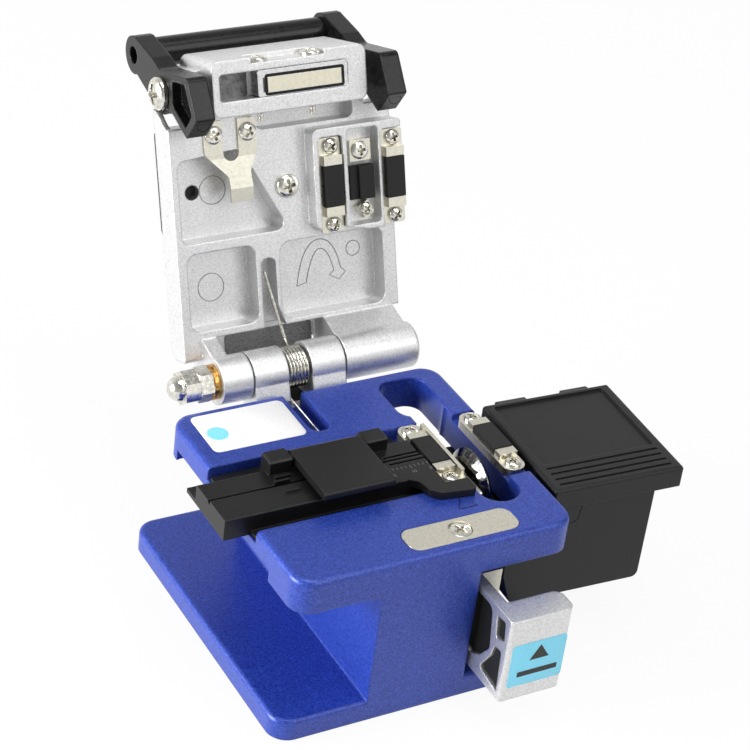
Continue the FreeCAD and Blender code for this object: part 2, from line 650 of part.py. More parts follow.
def lid_pockets():
    corner_r = 1.9
    clip_pocket = [(10.8, 28.8, corner_r), (35.8, 28.8, corner_r), (25.4, 47.6, corner_r),
                   (10.8, 46.4, corner_r)]
    return [
        lid_flat(clip_pocket, LID_FACE - 1, POCKET_FLOOR),
        lid_flat(rect(11.4, 27.5, 9.7, 26.6, 2.4), LID_FACE - 1, POCKET_FLOOR),
        lid_flat([(28.4, LID_HEEL - 1), (34.0, LID_HEEL - 1), (32.1, 12.5), (32.1, 23.2, 1.7),
                  (28.4, 23.2, 1.7)],
                 LID_FACE - 1, LID_BACK - 2.7),
        lid_flat(rect(33.0, LID_RIGHT - 3.0, 9.1, 26.1, 2.6), LID_FACE - 1, POCKET_FLOOR),
        lid_rod(VIEW_HOLE[0], VIEW_HOLE[1], POCKET_FLOOR - 1, LID_BACK + 1, VIEW_HOLE[2]),
        lid_flat(rect(29.4, NOSE_RIGHT - 0.7, NOSE_ROOT - 0.2 - GROOVE_WIDTH, NOSE_ROOT - 0.2, 1.6),
                 LID_FACE - 1, LID_FACE + GROOVE_DEPTH),
    ]


def lid_casting():
    slab = lid_flat([(LID_LEFT, LID_HEEL), (LID_RIGHT, LID_HEEL), (LID_RIGHT, YOKE_ROOT),
                     (LID_LEFT, YOKE_ROOT)],
                    LID_FACE, LID_BACK)
    heel = [(LID_HEEL + 1, LID_FACE), (3.3, LID_FACE, 1.2), (3.3, LID_BACK, 4.0),
            (LID_HEEL + 1, LID_BACK)]
    web = [(LID_HEEL + 1, LID_FACE), (LID_HEEL, LID_FACE), (KNUCKLE_R, 0), (0, 0),
           (-1.2, KNUCKLE_R - 0.2),
           (3.0, LID_BACK, 4.0), (LID_HEEL + 1, LID_BACK)]
    left_end = LID_LEFT_KNUCKLE + LID_KNUCKLE_WIDTH
    yoke = lid_flat(rect(ARM_BANDS[0][1], ARM_BANDS[1][0], COVER_TIP + COVER_GAP,
                         PIVOT_REACH + ARM_RING_R), LID_FACE, NOSE_BACK)
    nose = lid_flat(rect(NOSE_LEFT, NOSE_RIGHT, NOSE_ROOT, NOSE_TIP, 1.8), NOSE_FACE, NOSE_BACK)
    pad_block = lid_flat([(PAD_BLOCK_LEFT, PAD_BLOCK_ROOT + 1.4, 1.5),
                          (PAD_BLOCK_LEFT + 6.4, PAD_BLOCK_ROOT + 1.4, 2.0),
                          (PAD_BLOCK_LEFT + 12.4, PAD_BLOCK_ROOT, 2.0), (PAD_BLOCK_RIGHT,
                                                                         PAD_BLOCK_ROOT, 1.0),
                          (PAD_BLOCK_RIGHT, PAD_BLOCK_TIP, 1.0), (PAD_BLOCK_LEFT, PAD_BLOCK_TIP, 1.5)],
                         PAD_BLOCK_FACE, LID_FACE + 0.5)
    right_knuckle = rod(Vector(LID_RIGHT_KNUCKLE, HINGE_Y, HINGE_Z), X,
                        LID_RIGHT - SIDE_GAP - LID_RIGHT_KNUCKLE,
                        KNUCKLE_R)
    rim = [edge for edge in right_knuckle.Edges if edge.Closed and edge.CenterOfMass.x > LID_RIGHT - 1]
    body = join([
        slab,
        lid_side(heel, LID_LEFT, LID_LEFT_KNUCKLE),
        lid_side(web, LID_LEFT_KNUCKLE, LID_LEFT_KNUCKLE + LID_KNUCKLE_WIDTH / 2),
        rod(Vector(LID_LEFT_KNUCKLE, HINGE_Y, HINGE_Z), X, LID_KNUCKLE_WIDTH, KNUCKLE_R),
        lid_side(web, LID_RIGHT_KNUCKLE, LID_RIGHT - 1.6),
        right_knuckle.makeFillet(0.8, rim),
        lid_flat(rect(LID_LEFT_KNUCKLE + 1, LID_RIGHT_KNUCKLE + 1, HEEL_WALL_ROOT, LID_HEEL + 1),
                 POCKET_FLOOR, LID_BACK),
        yoke, nose, pad_block,
        lid_side_wall(LID_LEFT, ARM_BANDS[0][0]),
        lid_side_wall(ARM_BANDS[1][1], LID_RIGHT),
    ])
    tools = lid_pockets()
    tools += [arm_relief(left, right) for left, right in ARM_BANDS]
    tools += [
        rod(Vector(LID_LEFT_KNUCKLE - 1, HINGE_Y, HINGE_Z), X, SHAFT_RIGHT - LID_LEFT_KNUCKLE + 1,
            SHAFT_R + RUNNING),
        rod(Vector(left_end, HINGE_Y, HINGE_Z), X, LID_RIGHT_KNUCKLE - left_end, KNUCKLE_R + SIDE_GAP),
        rod(pivot(LID_LEFT), X, LID_WIDTH, PIVOT_PIN_R),
        lid_flat(rect(BRACKET_LEFT - 8.7, BRACKET_LEFT + BRACKET_LENGTH + 0.1, BRACKET_ROOT - 0.1,
                      BRACKET_ROOT + BRACKET_WIDTH + 0.1, 0.8), NOSE_FACE - 1, NOSE_FACE + BRACKET_DEPTH),
        lid_flat(rect(MAGNET_SCREW_X[0] - 2.4, MAGNET_SCREW_X[1] + 2.4, NOSE_TIP - NOSE_NOTCH,
                      NOSE_TIP + 1),
                 NOSE_FACE - 1, NOSE_FACE + 5),
        lid_flat(rect(BAY_LEFT, BAY_LEFT + BAY_WIDTH, PAD_BLOCK_ROOT + 1.2, PAD_BLOCK_TIP - 1.0, 1.0),
                 PAD_BLOCK_FACE - 1, BAY_FLOOR),
        screw_hole(lid_seat(*CENTRE_SCREW, LID_FACE), -Z, SMALL_SHANK_R, LID_THICK),
    ]
    for x in MAGNET_SCREW_X:
        tools.append(rod(Vector(x, at_reach(NOSE_TIP + 1), at_lift(MAGNET_SCREW_LIFT)), Y,
                         MAGNET_SCREW_LENGTH + 3,
                         SMALL_SHANK_R + 0.02))
    for x, reach in CLIP_SCREWS:
        tools.append(screw_hole(lid_seat(x, reach, LID_FACE), -Z, SMALL_SHANK_R, SMALL_SHANK))
    for x, reach in ANVIL_SCREWS:
        tools.append(screw_hole(lid_seat(x, reach, BAY_FLOOR), -Z, SMALL_SHANK_R, SMALL_SHANK))
    for x in PAD_X:
        tools.append(lid_flat(rect(x - 1.2, x + PAD_WIDTH + 0.5, at_reach(PAD_SCREW_Y[1]) - 2.2,
                                   at_reach(PAD_SCREW_Y[0]) + 2.2, 1.0), PAD_BLOCK_FACE - 1, TRAY_SEAT))
        for y in PAD_SCREW_Y:
            tools.append(screw_hole(Vector(x + PAD_WIDTH / 2, y, at_lift(TRAY_SEAT)), -Z, SMALL_SHANK_R,
                                    SMALL_SHANK))
    return cut(body, tools)


def lid_seat(x, reach, lift):
    return Vector(x, at_reach(reach), at_lift(lift))


def back_cover():
    """The dark panel on the lid's outside, notched for the folded lever's arms."""
    panel = lid_flat(rect(LID_LEFT + 0.1, LID_RIGHT - 0.1, COVER_ROOT, COVER_TIP, 2.0), LID_BACK,
                     LID_BACK + COVER_RISE)
    panel = panel.makeFillet(COVER_RISE * 0.7, edges_at(panel, at_lift(LID_BACK + COVER_RISE)))
    tools = [lid_flat(rect(left, right, 45.0, COVER_TIP + 1), LID_BACK - 1, LID_BACK + 3) for left,
             right in ARM_BANDS]
    tools.append(lid_rod(*CENTRE_SCREW, LID_BACK - 1, LID_BACK + COVER_RISE / 2, SMALL_SHANK_R + 0.02))
    return cut(panel, tools)


def centre_screw():
    shank = LID_THICK + COVER_RISE / 2
    return pan_screw(lid_seat(*CENTRE_SCREW, LID_FACE), -Z, BIG_HEAD_R, BIG_HEAD_H, SMALL_SHANK_R, shank)


# ---- Magnet ----
def magnet_bracket():
    frame = lid_flat(rect(BRACKET_LEFT, BRACKET_LEFT + BRACKET_LENGTH, BRACKET_ROOT,
                          BRACKET_ROOT + BRACKET_WIDTH, 0.5),
                     NOSE_FACE, NOSE_FACE + BRACKET_DEPTH)
    tools = [lid_flat(rect(MAGNET_LEFT - 1.1, MAGNET_LEFT + MAGNET_LENGTH, MAGNET_ROOT,
                           MAGNET_ROOT + MAGNET_WIDTH),
                      NOSE_FACE - 1, NOSE_FACE + MAGNET_THICK)]
    for x in MAGNET_SCREW_X:
        tools.append(rod(Vector(x, at_reach(NOSE_TIP), at_lift(MAGNET_SCREW_LIFT)), Y,
                         MAGNET_SCREW_LENGTH,
                         SMALL_SHANK_R + 0.02))
    return cut(frame, tools)


def magnet():
    return lid_flat(rect(MAGNET_LEFT, MAGNET_LEFT + MAGNET_LENGTH, MAGNET_ROOT,
                         MAGNET_ROOT + MAGNET_WIDTH),
                    NOSE_FACE, NOSE_FACE + MAGNET_THICK)


def magnet_screws():
    screws = []
    for x in MAGNET_SCREW_X:
        seat = lid_seat(x, NOSE_TIP - NOSE_NOTCH, MAGNET_SCREW_LIFT)
        screws.append(pan_screw(seat, -Y, MAGNET_HEAD_R, NOSE_NOTCH, SMALL_SHANK_R, MAGNET_SCREW_LENGTH))
    return screws


# ---- Leaf clip ----
def leaf_clip():
    """A notched spring leaf that presses on the fibre clamp once the lid is shut."""
    half = CLIP_THICK / 2
    seat = LID_FACE - half
    line = [(54.2, seat), (46.0, seat), (39.4, CLIP_LOW), (36.4, seat - 0.1)]
    band = [(r, l + half) for r, l in line] + [(r, l - half) for r, l in reversed(line)]
    outline = [(17.0, 54.0, 1.0), (17.0, 47.2, 2.0), (22.0, 42.0, 2.0), (22.4, 36.0), (27.6, 36.0),
               (27.2, 42.8, 2.0),
               (29.2, 47.0, 1.5), (29.2, 54.0, 1.0), (24.9, 54.0), (24.9, 45.3, 1.8), (21.3, 45.3,
                                                                                       1.8), (21.3,
                                                                                              54.0)]
    leaf = lid_side(band, 16, 30).common(lid_flat(outline, 0, LID_FACE + 1))
    return cut(leaf, [lid_rod(x, reach, 0, LID_FACE + 1, SMALL_SHANK_R + 0.02) for x,
                      reach in CLIP_SCREWS])


def clip_screws():
    shank = SMALL_SHANK + CLIP_THICK
    return [pan_screw(lid_seat(x, reach, LID_FACE - CLIP_THICK), -Z, 2.0, SMALL_HEAD_H, SMALL_SHANK_R,
                      shank)
            for x, reach in CLIP_SCREWS]


# ---- Lid pads and anvil ----


def lid_pad_tray(x):
    """A steel strip with an upright stop at each end of its rubber pad."""
    strip = flat(rect(x - 0.6, x + PAD_WIDTH + 0.3, PAD_SCREW_Y[0] - 1.8, PAD_SCREW_Y[1] + 1.8, 0.6),
                 at_lift(LID_TRAY_TOP), at_lift(TRAY_SEAT))
    stops = []
    for y in (PAD_FRONT - 0.1 - PAD_STOP_LENGTH, PAD_BACK + 0.1):
        stops.append(box(x, x + PAD_WIDTH, y, y + PAD_STOP_LENGTH, at_lift(LID_PAD_FACE + 0.1),
                         at_lift(LID_TRAY_TOP)))
    holes = [rod(Vector(x + PAD_WIDTH / 2, y, at_lift(LID_TRAY_TOP) - 1), Z, 4, SMALL_SHANK_R + 0.02)
             for y in PAD_SCREW_Y]
    return cut(join([strip] + stops), holes)


def lid_pad(x):
    return box(x, x + PAD_WIDTH, PAD_FRONT, PAD_BACK, at_lift(LID_PAD_FACE), at_lift(LID_TRAY_TOP))


def lid_pad_screws():
    screws = []
    head = LID_TRAY_TOP - HEAD_CLEAR
    for x in PAD_X:
        for y in PAD_SCREW_Y:
            seat = Vector(x + PAD_WIDTH / 2, y, at_lift(LID_TRAY_TOP))
            shank = PAD_TRAY_THICK + SMALL_SHANK
            screws.append(pan_screw(seat, -Z, SMALL_HEAD_R, min(head, SMALL_HEAD_H * 1.4),
                                    SMALL_SHANK_R, shank))
    return screws


def anvil_brackets():
    """Two small screwed plates, the lower one turned, that keep the anvil in its bay."""
    tools = [lid_rod(x, reach, 0, BAY_FLOOR + 1, SMALL_SHANK_R + 0.02) for x, reach in ANVIL_SCREWS]
    upper = lid_flat(rect(BAY_LEFT + 1.4, BAY_LEFT + 6.5, 41.5, 46.1, 0.3), ANVIL_SEAT - ANVIL_PLATE,
                     BAY_FLOOR)
    lower = lid_flat([(BAY_LEFT + 4.6, 28.6, 0.4), (BAY_LEFT + 6.8, 30.2, 0.4),
                      (BAY_LEFT + 5.3, 33.0, 0.4),
                      (BAY_LEFT + 2.7, 31.6, 0.4)],
                     ANVIL_SEAT - ANVIL_PLATE, BAY_FLOOR)
    return [cut(upper, tools), cut(lower, tools)]


def anvil_screws():
    shank = BAY_FLOOR - ANVIL_SEAT + ANVIL_PLATE + SMALL_SHANK
    return [pan_screw(lid_seat(x, reach, ANVIL_SEAT - ANVIL_PLATE), -Z, head_r, SMALL_HEAD_H,
                      SMALL_SHANK_R, shank)
            for (x, reach), head_r in zip(ANVIL_SCREWS, (2.0, 1.5))]


def anvil_block():
    """The spring-loaded block that bends the fibre over the wheel's cut."""
    right = ANVIL_LEFT + ANVIL_WIDTH
    tip = ANVIL_ROOT + ANVIL_LENGTH
    head = lid_flat(rect(ANVIL_LEFT, right, ANVIL_ROOT, tip), ANVIL_FACE, ANVIL_FACE + 1.6)
    stem = lid_flat(rect(ANVIL_LEFT - 1.9, right, ANVIL_ROOT, tip), ANVIL_FACE + 0.8,
                    BAY_FLOOR - ANVIL_TRAVEL - 0.05)
    return join([head, stem])


# ---- Lever ----


def lever_outline():
    return [(70.9, 21.9), (67.3, 13.7, 2.0), (65.2, 10.2, 3.0), (64.9, -3.2, 1.5), (56.4, -6.3, 0.5),
            (52.2, -1.0, 0.5),
            (56.8, 5.6, 2.0), (55.9, 10.0, 2.5), (58.6, 15.6, 2.0), (63.0, 22.4)]


def lever_arm(left):
    """A flat arm with a ring at the pivot, a boss for the bar and a hollow outer face."""
    right = left + ARM_WIDTH
    boss = Vector(left, at_reach(PIVOT_REACH + BAR_REACH), at_lift(PIVOT_LIFT + BAR_LIFT))
    arm = join([lid_side(lever_outline(), left, right), rod(boss, X, ARM_WIDTH, BAR_BOSS_R),
                rod(pivot(left), X, ARM_WIDTH, ARM_RING_R)])
    outer = left if left == ARM_LEFT else right
    near, far = sorted((outer, left + ARM_WIDTH / 2))
    hollow = [(63.4, -1.6, 0.8), (57.2, -4.2, 0.8), (54.3, -0.9, 0.5), (58.3, 4.9, 1.0), (63.4, 4.4, 1.0)]
    tools = [lid_side(hollow, near, far),
             rod(pivot(left - 1), X, ARM_WIDTH + 2, PIVOT_PIN_R + RUNNING),
             rod(boss - X, X, ARM_WIDTH + 2, BAR_HOLE_R)]
    return cut(arm, tools)


def lever_bar():
    """The finger bar: a thick rod between the arms, with thin ends that sit in their bosses."""
    centre = Vector(ARM_LEFT + ARM_WIDTH, at_reach(PIVOT_REACH + BAR_REACH),
                    at_lift(PIVOT_LIFT + BAR_LIFT))
    span = ARM_SPAN - 2 * ARM_WIDTH
    peg = ARM_WIDTH * 0.4
    return join([rod(centre, X, span, BAR_R), rod(centre - X * peg, X, span + 2 * peg, BAR_HOLE_R)])


def pivot_screws():
    """One pan-head pivot on each side, from outside the arm into the yoke."""
    shank = 9.0
    left = pan_screw(pivot(ARM_LEFT - 0.1), -X, PIVOT_HEAD_R, PIVOT_HEAD_H, PIVOT_PIN_R, shank)
    right = pan_screw(pivot(ARM_RIGHT + 0.1), X, PIVOT_HEAD_R, PIVOT_HEAD_H, PIVOT_PIN_R, shank)
    return [left, right]


# ---- Parts on the deck ----
def keeper_plate():
    plate = flat(rect(KEEPER_LEFT + 0.1, KEEPER_LEFT + KEEPER_LENGTH - 0.1, KEEPER_FRONT + 0.1,
                      KEEPER_FRONT + KEEPER_WIDTH - 0.1, 2.4), DECK_TOP - KEEPER_THICK, DECK_TOP)
    seat = Vector(*KEEPER_SCREW, DECK_TOP - KEEPER_THICK / 2)
    return cut(plate, [rod(seat, Z, 2, KEEPER_HEAD_R + 0.05), rod(seat, -Z, 2, SMALL_SHANK_R + 0.02)])


def keeper_screw():
    seat = Vector(*KEEPER_SCREW, DECK_TOP - KEEPER_THICK / 2)
    return pan_screw(seat, Z, KEEPER_HEAD_R, KEEPER_THICK / 2, SMALL_SHANK_R, SMALL_SHANK)


def base_pad_tray(x, floor, rim_left, rim_top):
    """A nickel-plated holder: foot, rim along the wheel's slot, end stops and screw lands."""
    front = PAD_SCREW_Y[0] - 2.3
    back = PAD_SCREW_Y[1] + 2.3
    left = min(x - 0.3, rim_left)
    right = max(x + PAD_WIDTH + 0.3, rim_left + TRAY_RIM)
    foot = flat(rect(left, right, front, back, 2.2), floor, BASE_TRAY_TOP)
    parts = [foot, box(rim_left, rim_left + TRAY_RIM, front + 2.2, back - 2.2, floor, rim_top)]
    for y in (PAD_FRONT - 0.1 - PAD_STOP_LENGTH, PAD_BACK + 0.1):
        parts.append(box(x, x + PAD_WIDTH, y, y + PAD_STOP_LENGTH, BASE_TRAY_TOP, PAD_TOP - 0.2))
    holes = [rod(Vector(x + PAD_WIDTH / 2, y, floor - 1), Z, 9,
                 SMALL_SHANK_R + 0.02) for y in PAD_SCREW_Y]
    return cut(join(parts), holes)


def base_pad(x):
    return box(x, x + PAD_WIDTH, PAD_FRONT, PAD_BACK, BASE_TRAY_TOP, PAD_TOP)


def base_pad_screws():
    shank = BASE_TRAY_TOP - DECK_TOP + TRAY_SHANK
    return [pan_screw(Vector(x + PAD_WIDTH / 2, y, BASE_TRAY_TOP), Z, SMALL_HEAD_R, SMALL_HEAD_H,
                      SMALL_SHANK_R, shank)
            for x in PAD_X for y in PAD_SCREW_Y]


# ---- Fibre holder and its clamp ----


def fibre_holder():
    """The black fibre bed: a flange in the deck channel, a grooved bar and a tab by the wheel."""
    low_back = HOLDER_TOP - HOLDER_STEP
    flange = flat(rect(0.4, HOLDER_RIGHT, CHANNEL_FRONT + 0.6, CHANNEL_BACK - 0.4, 0.4), CHANNEL_FLOOR,
                  CHANNEL_FLOOR + HOLDER_FLANGE)
    bar = side([(HOLDER_FRONT, CHANNEL_FLOOR + HOLDER_FLANGE), (HOLDER_FRONT, HOLDER_TOP, 0.3),
                (GROOVE_Y, HOLDER_TOP), (GROOVE_Y, low_back - 0.6), (GROOVE_Y + FIBRE_GROOVE,
                                                                     low_back - 0.6),
                (GROOVE_Y + FIBRE_GROOVE, low_back), (HOLDER_BACK, low_back, 0.3),
                (HOLDER_BACK, CHANNEL_FLOOR + HOLDER_FLANGE)], HOLDER_LEFT, HOLDER_RIGHT)
    tab = flat([(33.0, GROOVE_Y), (33.0, HOLDER_FRONT), (34.8, HOLDER_FRONT + 0.4, 1.0),
                (37.2, HOLDER_FRONT - 1.3, 2.0), (37.8, HOLDER_FRONT - 4.6, 1.5), (39.6,
                                                                                   HOLDER_FRONT - 6.3, 1.5),
                (SLOT_LEFT - 0.9, HOLDER_FRONT - 7.4, 0.8), (SLOT_LEFT - 0.9, HOLDER_FRONT - 3.3),
                (HOLDER_RIGHT, HOLDER_FRONT - 3.3), (HOLDER_RIGHT, GROOVE_Y)],
               DECK_TOP + 0.1, HOLDER_TOP)
    ears = []
    for left in EAR_LEFTS:
        ear = flat(rect(left, left + EAR_WIDTH, EAR_BACK - EAR_DEPTH, EAR_BACK, 0.5),
                   CHANNEL_FLOOR + HOLDER_FLANGE / 2, CLAMP_TOP)
        ears.append(ear.makeChamfer(0.4, edges_at(ear, CLAMP_TOP)))
    low_flange = box(HOLDER_LEFT, 1.0, HOLDER_FRONT, LOW_FLANGE_BACK, CHANNEL_FLOOR,
                     CHANNEL_FLOOR + HOLDER_FLANGE)
    ridges = [box(left, left + 3.5, front, front + 0.6, low_back - 0.3, HOLDER_TOP + 0.5) for left,
              front in RIDGES]
    body = join([flange, low_flange, bar, tab] + ears + ridges)
    tools = [rod(Vector(EAR_LEFTS[0] + 0.8, CLAMP_PIN_Y, CLAMP_PIN_Z), X, 60, CLAMP_PIN_R),
             box(34.0, 43.0, GROOVE_Y + 1.4, GROOVE_Y + 2.0, low_back - 0.5, low_back + 1),
             box(34.0, 43.0, GROOVE_Y - 1.3, GROOVE_Y - 0.7, HOLDER_TOP - 0.5, HOLDER_TOP + 1)]
    return cut(body, tools)


def clamp_pin():
    left = EAR_LEFTS[0] + 0.8
    right = EAR_LEFTS[1] + EAR_WIDTH
    return rod(Vector(left, CLAMP_PIN_Y, CLAMP_PIN_Z), X, right - left, CLAMP_PIN_R)


def clamp_lid():
    """The flat flap that holds the fibre down in its groove."""
    back = CLAMP_FRONT + CLAMP_DEPTH
    heel = CLAMP_TOP - CLAMP_HEEL
    outline = [(CLAMP_FRONT, CLAMP_UNDER, 0.4), (CLAMP_PIN_Y - 2.4, CLAMP_UNDER),
               (CLAMP_PIN_Y - 1.4, heel),
               (back, heel, 1.2), (back, CLAMP_TOP, 1.2), (CLAMP_FRONT, CLAMP_TOP, 0.6)]
    flap = side(outline, CLAMP_LEFT, CLAMP_LEFT + CLAMP_WIDTH)
    pad = box(CLAMP_LEFT + 1.5, CLAMP_LEFT + CLAMP_WIDTH - 1.5, CLAMP_FRONT + 3.0, CLAMP_PIN_Y - 4.0,
              HOLDER_TOP + CLAMP_PAD_GAP, CLAMP_UNDER + 0.1)
    return cut(join([flap, pad]), [rod(Vector(0, CLAMP_PIN_Y, CLAMP_PIN_Z), X, 60,
                                       CLAMP_PIN_R + RUNNING)])


# ---- Slide rail, push slider, carriage and wheel ----
def slide_rail():
    rail = box(BLOCK_RIGHT, BLOCK_RIGHT + RAIL_WIDTH, RAIL_FRONT, RAIL_BACK, RAIL_LOW,
               RAIL_LOW + RAIL_HEIGHT)
    return cut(rail, [rod(Vector(BLOCK_RIGHT - 1, y, RAIL_LOW + RAIL_HEIGHT / 2), X, 9,
                          SMALL_SHANK_R + 0.02)
                      for y in RAIL_SCREW_Y] + [rod(Vector(BLOCK_RIGHT + RAIL_WIDTH - SMALL_HEAD_H, y,
                      RAIL_LOW + RAIL_HEIGHT / 2), X, 9, SMALL_HEAD_R + 0.05) for y in RAIL_SCREW_Y])


def rail_screws():
    shank = RAIL_WIDTH - SMALL_HEAD_H + SMALL_SHANK
    return [pan_screw(Vector(BLOCK_RIGHT + RAIL_WIDTH - SMALL_HEAD_H, y, RAIL_LOW + RAIL_HEIGHT / 2), X,
                      SMALL_HEAD_R,
                      SMALL_HEAD_H, SMALL_SHANK_R, shank) for y in RAIL_SCREW_Y]


def push_slider():
    """The cast push button: a thick face, a side arm with windows and a sloping lower rim."""
    face = flat([(PUSH_LEFT, PUSH_FRONT, 0.8), (PUSH_RIGHT, PUSH_FRONT, 1.6),
                 (PUSH_RIGHT, PUSH_FRONT + PUSH_THICK, 2.2),
                 (PUSH_LEFT, PUSH_FRONT + PUSH_THICK)], PUSH_BOTTOM, PUSH_TOP)
    arm = box(PUSH_LEFT, ARM_X, PUSH_FRONT + PUSH_THICK - 1, CARRIAGE_FRONT, PUSH_BOTTOM, PUSH_TOP)
    body = join([face, arm])
    depth = PUSH_RIGHT - PUSH_WALL
    tools = [
        side([(-7.3, 20.4, 0.6), (-10.3, 21.6, 0.6), (-9.7, 26.0, 0.6), (-6.6, 25.6, 0.6)],
             PUSH_LEFT - 1, depth),
        side([(-7.4, 18.4, 0.8), (-6.6, 15.2, 1.5), (-3.4, 10.0, 0.8), (-10.4, 8.8, 0.6),
              (-9.9, 18.8, 0.6)],
             PUSH_LEFT - 1, depth),
        side([(-5.9, 16.5, 2.0), (-2.9, 12.6, 1.5), (0.4, 10.6, 0.5), (2.4, 11.5, 0.5), (2.4, 26.0, 0.8),
              (-4.6, 26.2, 1.8)], PUSH_LEFT - 1, ARM_X + 1),
    ]
    return cut(body, tools)


def carriage():
    """Slides on the rail and carries the wheel on an upright in the deck's slot."""
    left = BLOCK_RIGHT + 0.5
    back = CARRIAGE_FRONT + CARRIAGE_LENGTH
    body = box(left, left + CARRIAGE_WIDTH, CARRIAGE_FRONT, back, PUSH_BOTTOM + 3.5, PUSH_TOP)
    upright = side([(WHEEL_Y - WHEEL_R, PUSH_TOP - 12), (WHEEL_Y + WHEEL_R, PUSH_TOP - 12),
                    (WHEEL_Y + WHEEL_R + 2, UPRIGHT_TOP - 4, 2.0), (WHEEL_Y + WHEEL_R + 2, UPRIGHT_TOP,
                                                                    0.6),
                    (WHEEL_Y - WHEEL_R, UPRIGHT_TOP, 0.6)], UPRIGHT_LEFT, UPRIGHT_LEFT + UPRIGHT_THICK)
    groove = box(left - 1, BLOCK_RIGHT + RAIL_WIDTH + SLIDE_GAP, CARRIAGE_FRONT - 1, back + 1,
                 RAIL_LOW - SLIDE_GAP,
                 RAIL_LOW + RAIL_HEIGHT + SLIDE_GAP)
    pocket = box(left + 3.6, left + CARRIAGE_WIDTH - 1.4, CARRIAGE_FRONT + 3, back - 3, PUSH_BOTTOM,
                 PUSH_TOP - 2)
    axle_hole = rod(Vector(UPRIGHT_LEFT - 1, WHEEL_Y, WHEEL_Z), X, 9, AXLE_R)
    head_room = rod(Vector(UPRIGHT_LEFT - 3, WHEEL_Y, WHEEL_Z), X, 3, AXLE_HEAD_R)
    return cut(join([body, upright]), [groove, pocket, axle_hole, head_room])


def wheel_axle():
    right = WHEEL_LEFT + WHEEL_THICK + 0.25
    start = Vector(UPRIGHT_LEFT, WHEEL_Y, WHEEL_Z)
    shaft = rod(start, X, right - UPRIGHT_LEFT, AXLE_R)
    return join([shaft, rod(Vector(right, WHEEL_Y, WHEEL_Z), X, AXLE_HEAD_H, AXLE_HEAD_R)])


def blade_wheel():
    """The round blade: a flat disc whose rim tapers to a sharp edge."""
    half = WHEEL_THICK / 2
    middle = WHEEL_LEFT + half
    hub = AXLE_R + RUNNING
    rim = WHEEL_R - 1.6
    points = [(WHEEL_LEFT, hub), (WHEEL_LEFT, rim), (middle - 0.1, WHEEL_R), (middle + 0.1, WHEEL_R),
              (WHEEL_LEFT + WHEEL_THICK, rim), (WHEEL_LEFT + WHEEL_THICK, hub)]
    section = Part.Face(wire(points, lambda a, b: Vector(a, WHEEL_Y, WHEEL_Z + b)))
    return section.revolve(Vector(0, WHEEL_Y, WHEEL_Z), X, 360)


# ---- Scrap bin ----


def yawed(shape):
    turned = shape.copy()
    turned.rotate(Vector(BIN_LID_LEFT, BIN_LID_FRONT, 0), Z, BIN_YAW)
    return turned


def bin_box():
    """An open box beside the deck with a neck that reaches under it, below the wheel."""
    wall = BIN_WALL
    outer = [(BIN_NECK, BIN_NECK_TOP), (BIN_NECK + 0.2, 18.0), (BIN_NECK + 2.7, BIN_BOTTOM, 1.5),
             (BIN_RIGHT, BIN_BOTTOM, 1.5),
             (BIN_RIGHT, BIN_TOP), (BIN_RISER, BIN_TOP), (BIN_RISER, BIN_NECK_TOP)]
    inner = [(BIN_NECK + wall, BIN_NECK_TOP + 1), (BIN_NECK + wall + 0.2, 18.3),
             (BIN_NECK + wall + 2.2, BIN_BOTTOM + wall),
             (BIN_RIGHT - wall, BIN_BOTTOM + wall), (BIN_RIGHT - wall, BIN_TOP + 1), (BIN_RISER + wall,
                                                                                      BIN_TOP + 1),
             (BIN_RISER + wall, BIN_NECK_TOP - wall), (BIN_RISER - 1, BIN_NECK_TOP - wall),
             (BIN_RISER - 1, BIN_NECK_TOP + 1)]
    body = facing(outer, BIN_FRONT, BIN_BACK).cut(facing(inner, BIN_FRONT + wall, BIN_BACK - wall))
    first, second = BIN_HUMPS
    ear_left = first[0] + first[1] + BIN_EAR_GAP
    ear_right = second[0] - BIN_EAR_GAP
    ear = side([(BIN_BACK - 0.1, BIN_TOP - 6), (BIN_PIN_Y + 1.0, BIN_PIN_Z - 2.5),
                (BIN_PIN_Y + 1.7, BIN_PIN_Z, 1.0),
                (BIN_PIN_Y, BIN_PIN_Z + 1.8, 1.0), (BIN_PIN_Y - 1.7, BIN_PIN_Z, 1.0), (BIN_BACK - 0.1,
                                                                                       BIN_TOP - 1)],
               ear_left, ear_right)
    body = join([body, ear])
    return yawed(cut(body, [rod(Vector(BIN_LID_LEFT, BIN_PIN_Y, BIN_PIN_Z), X, BIN_LID_WIDTH,
                                BIN_PIN_R)]))


def bin_pin():
    left = BIN_HUMPS[0][0] + 1.0
    right = BIN_HUMPS[1][0] + BIN_HUMPS[1][1] - 1.0
    return yawed(rod(Vector(left, BIN_PIN_Y, BIN_PIN_Z), X, right - left, BIN_PIN_R))


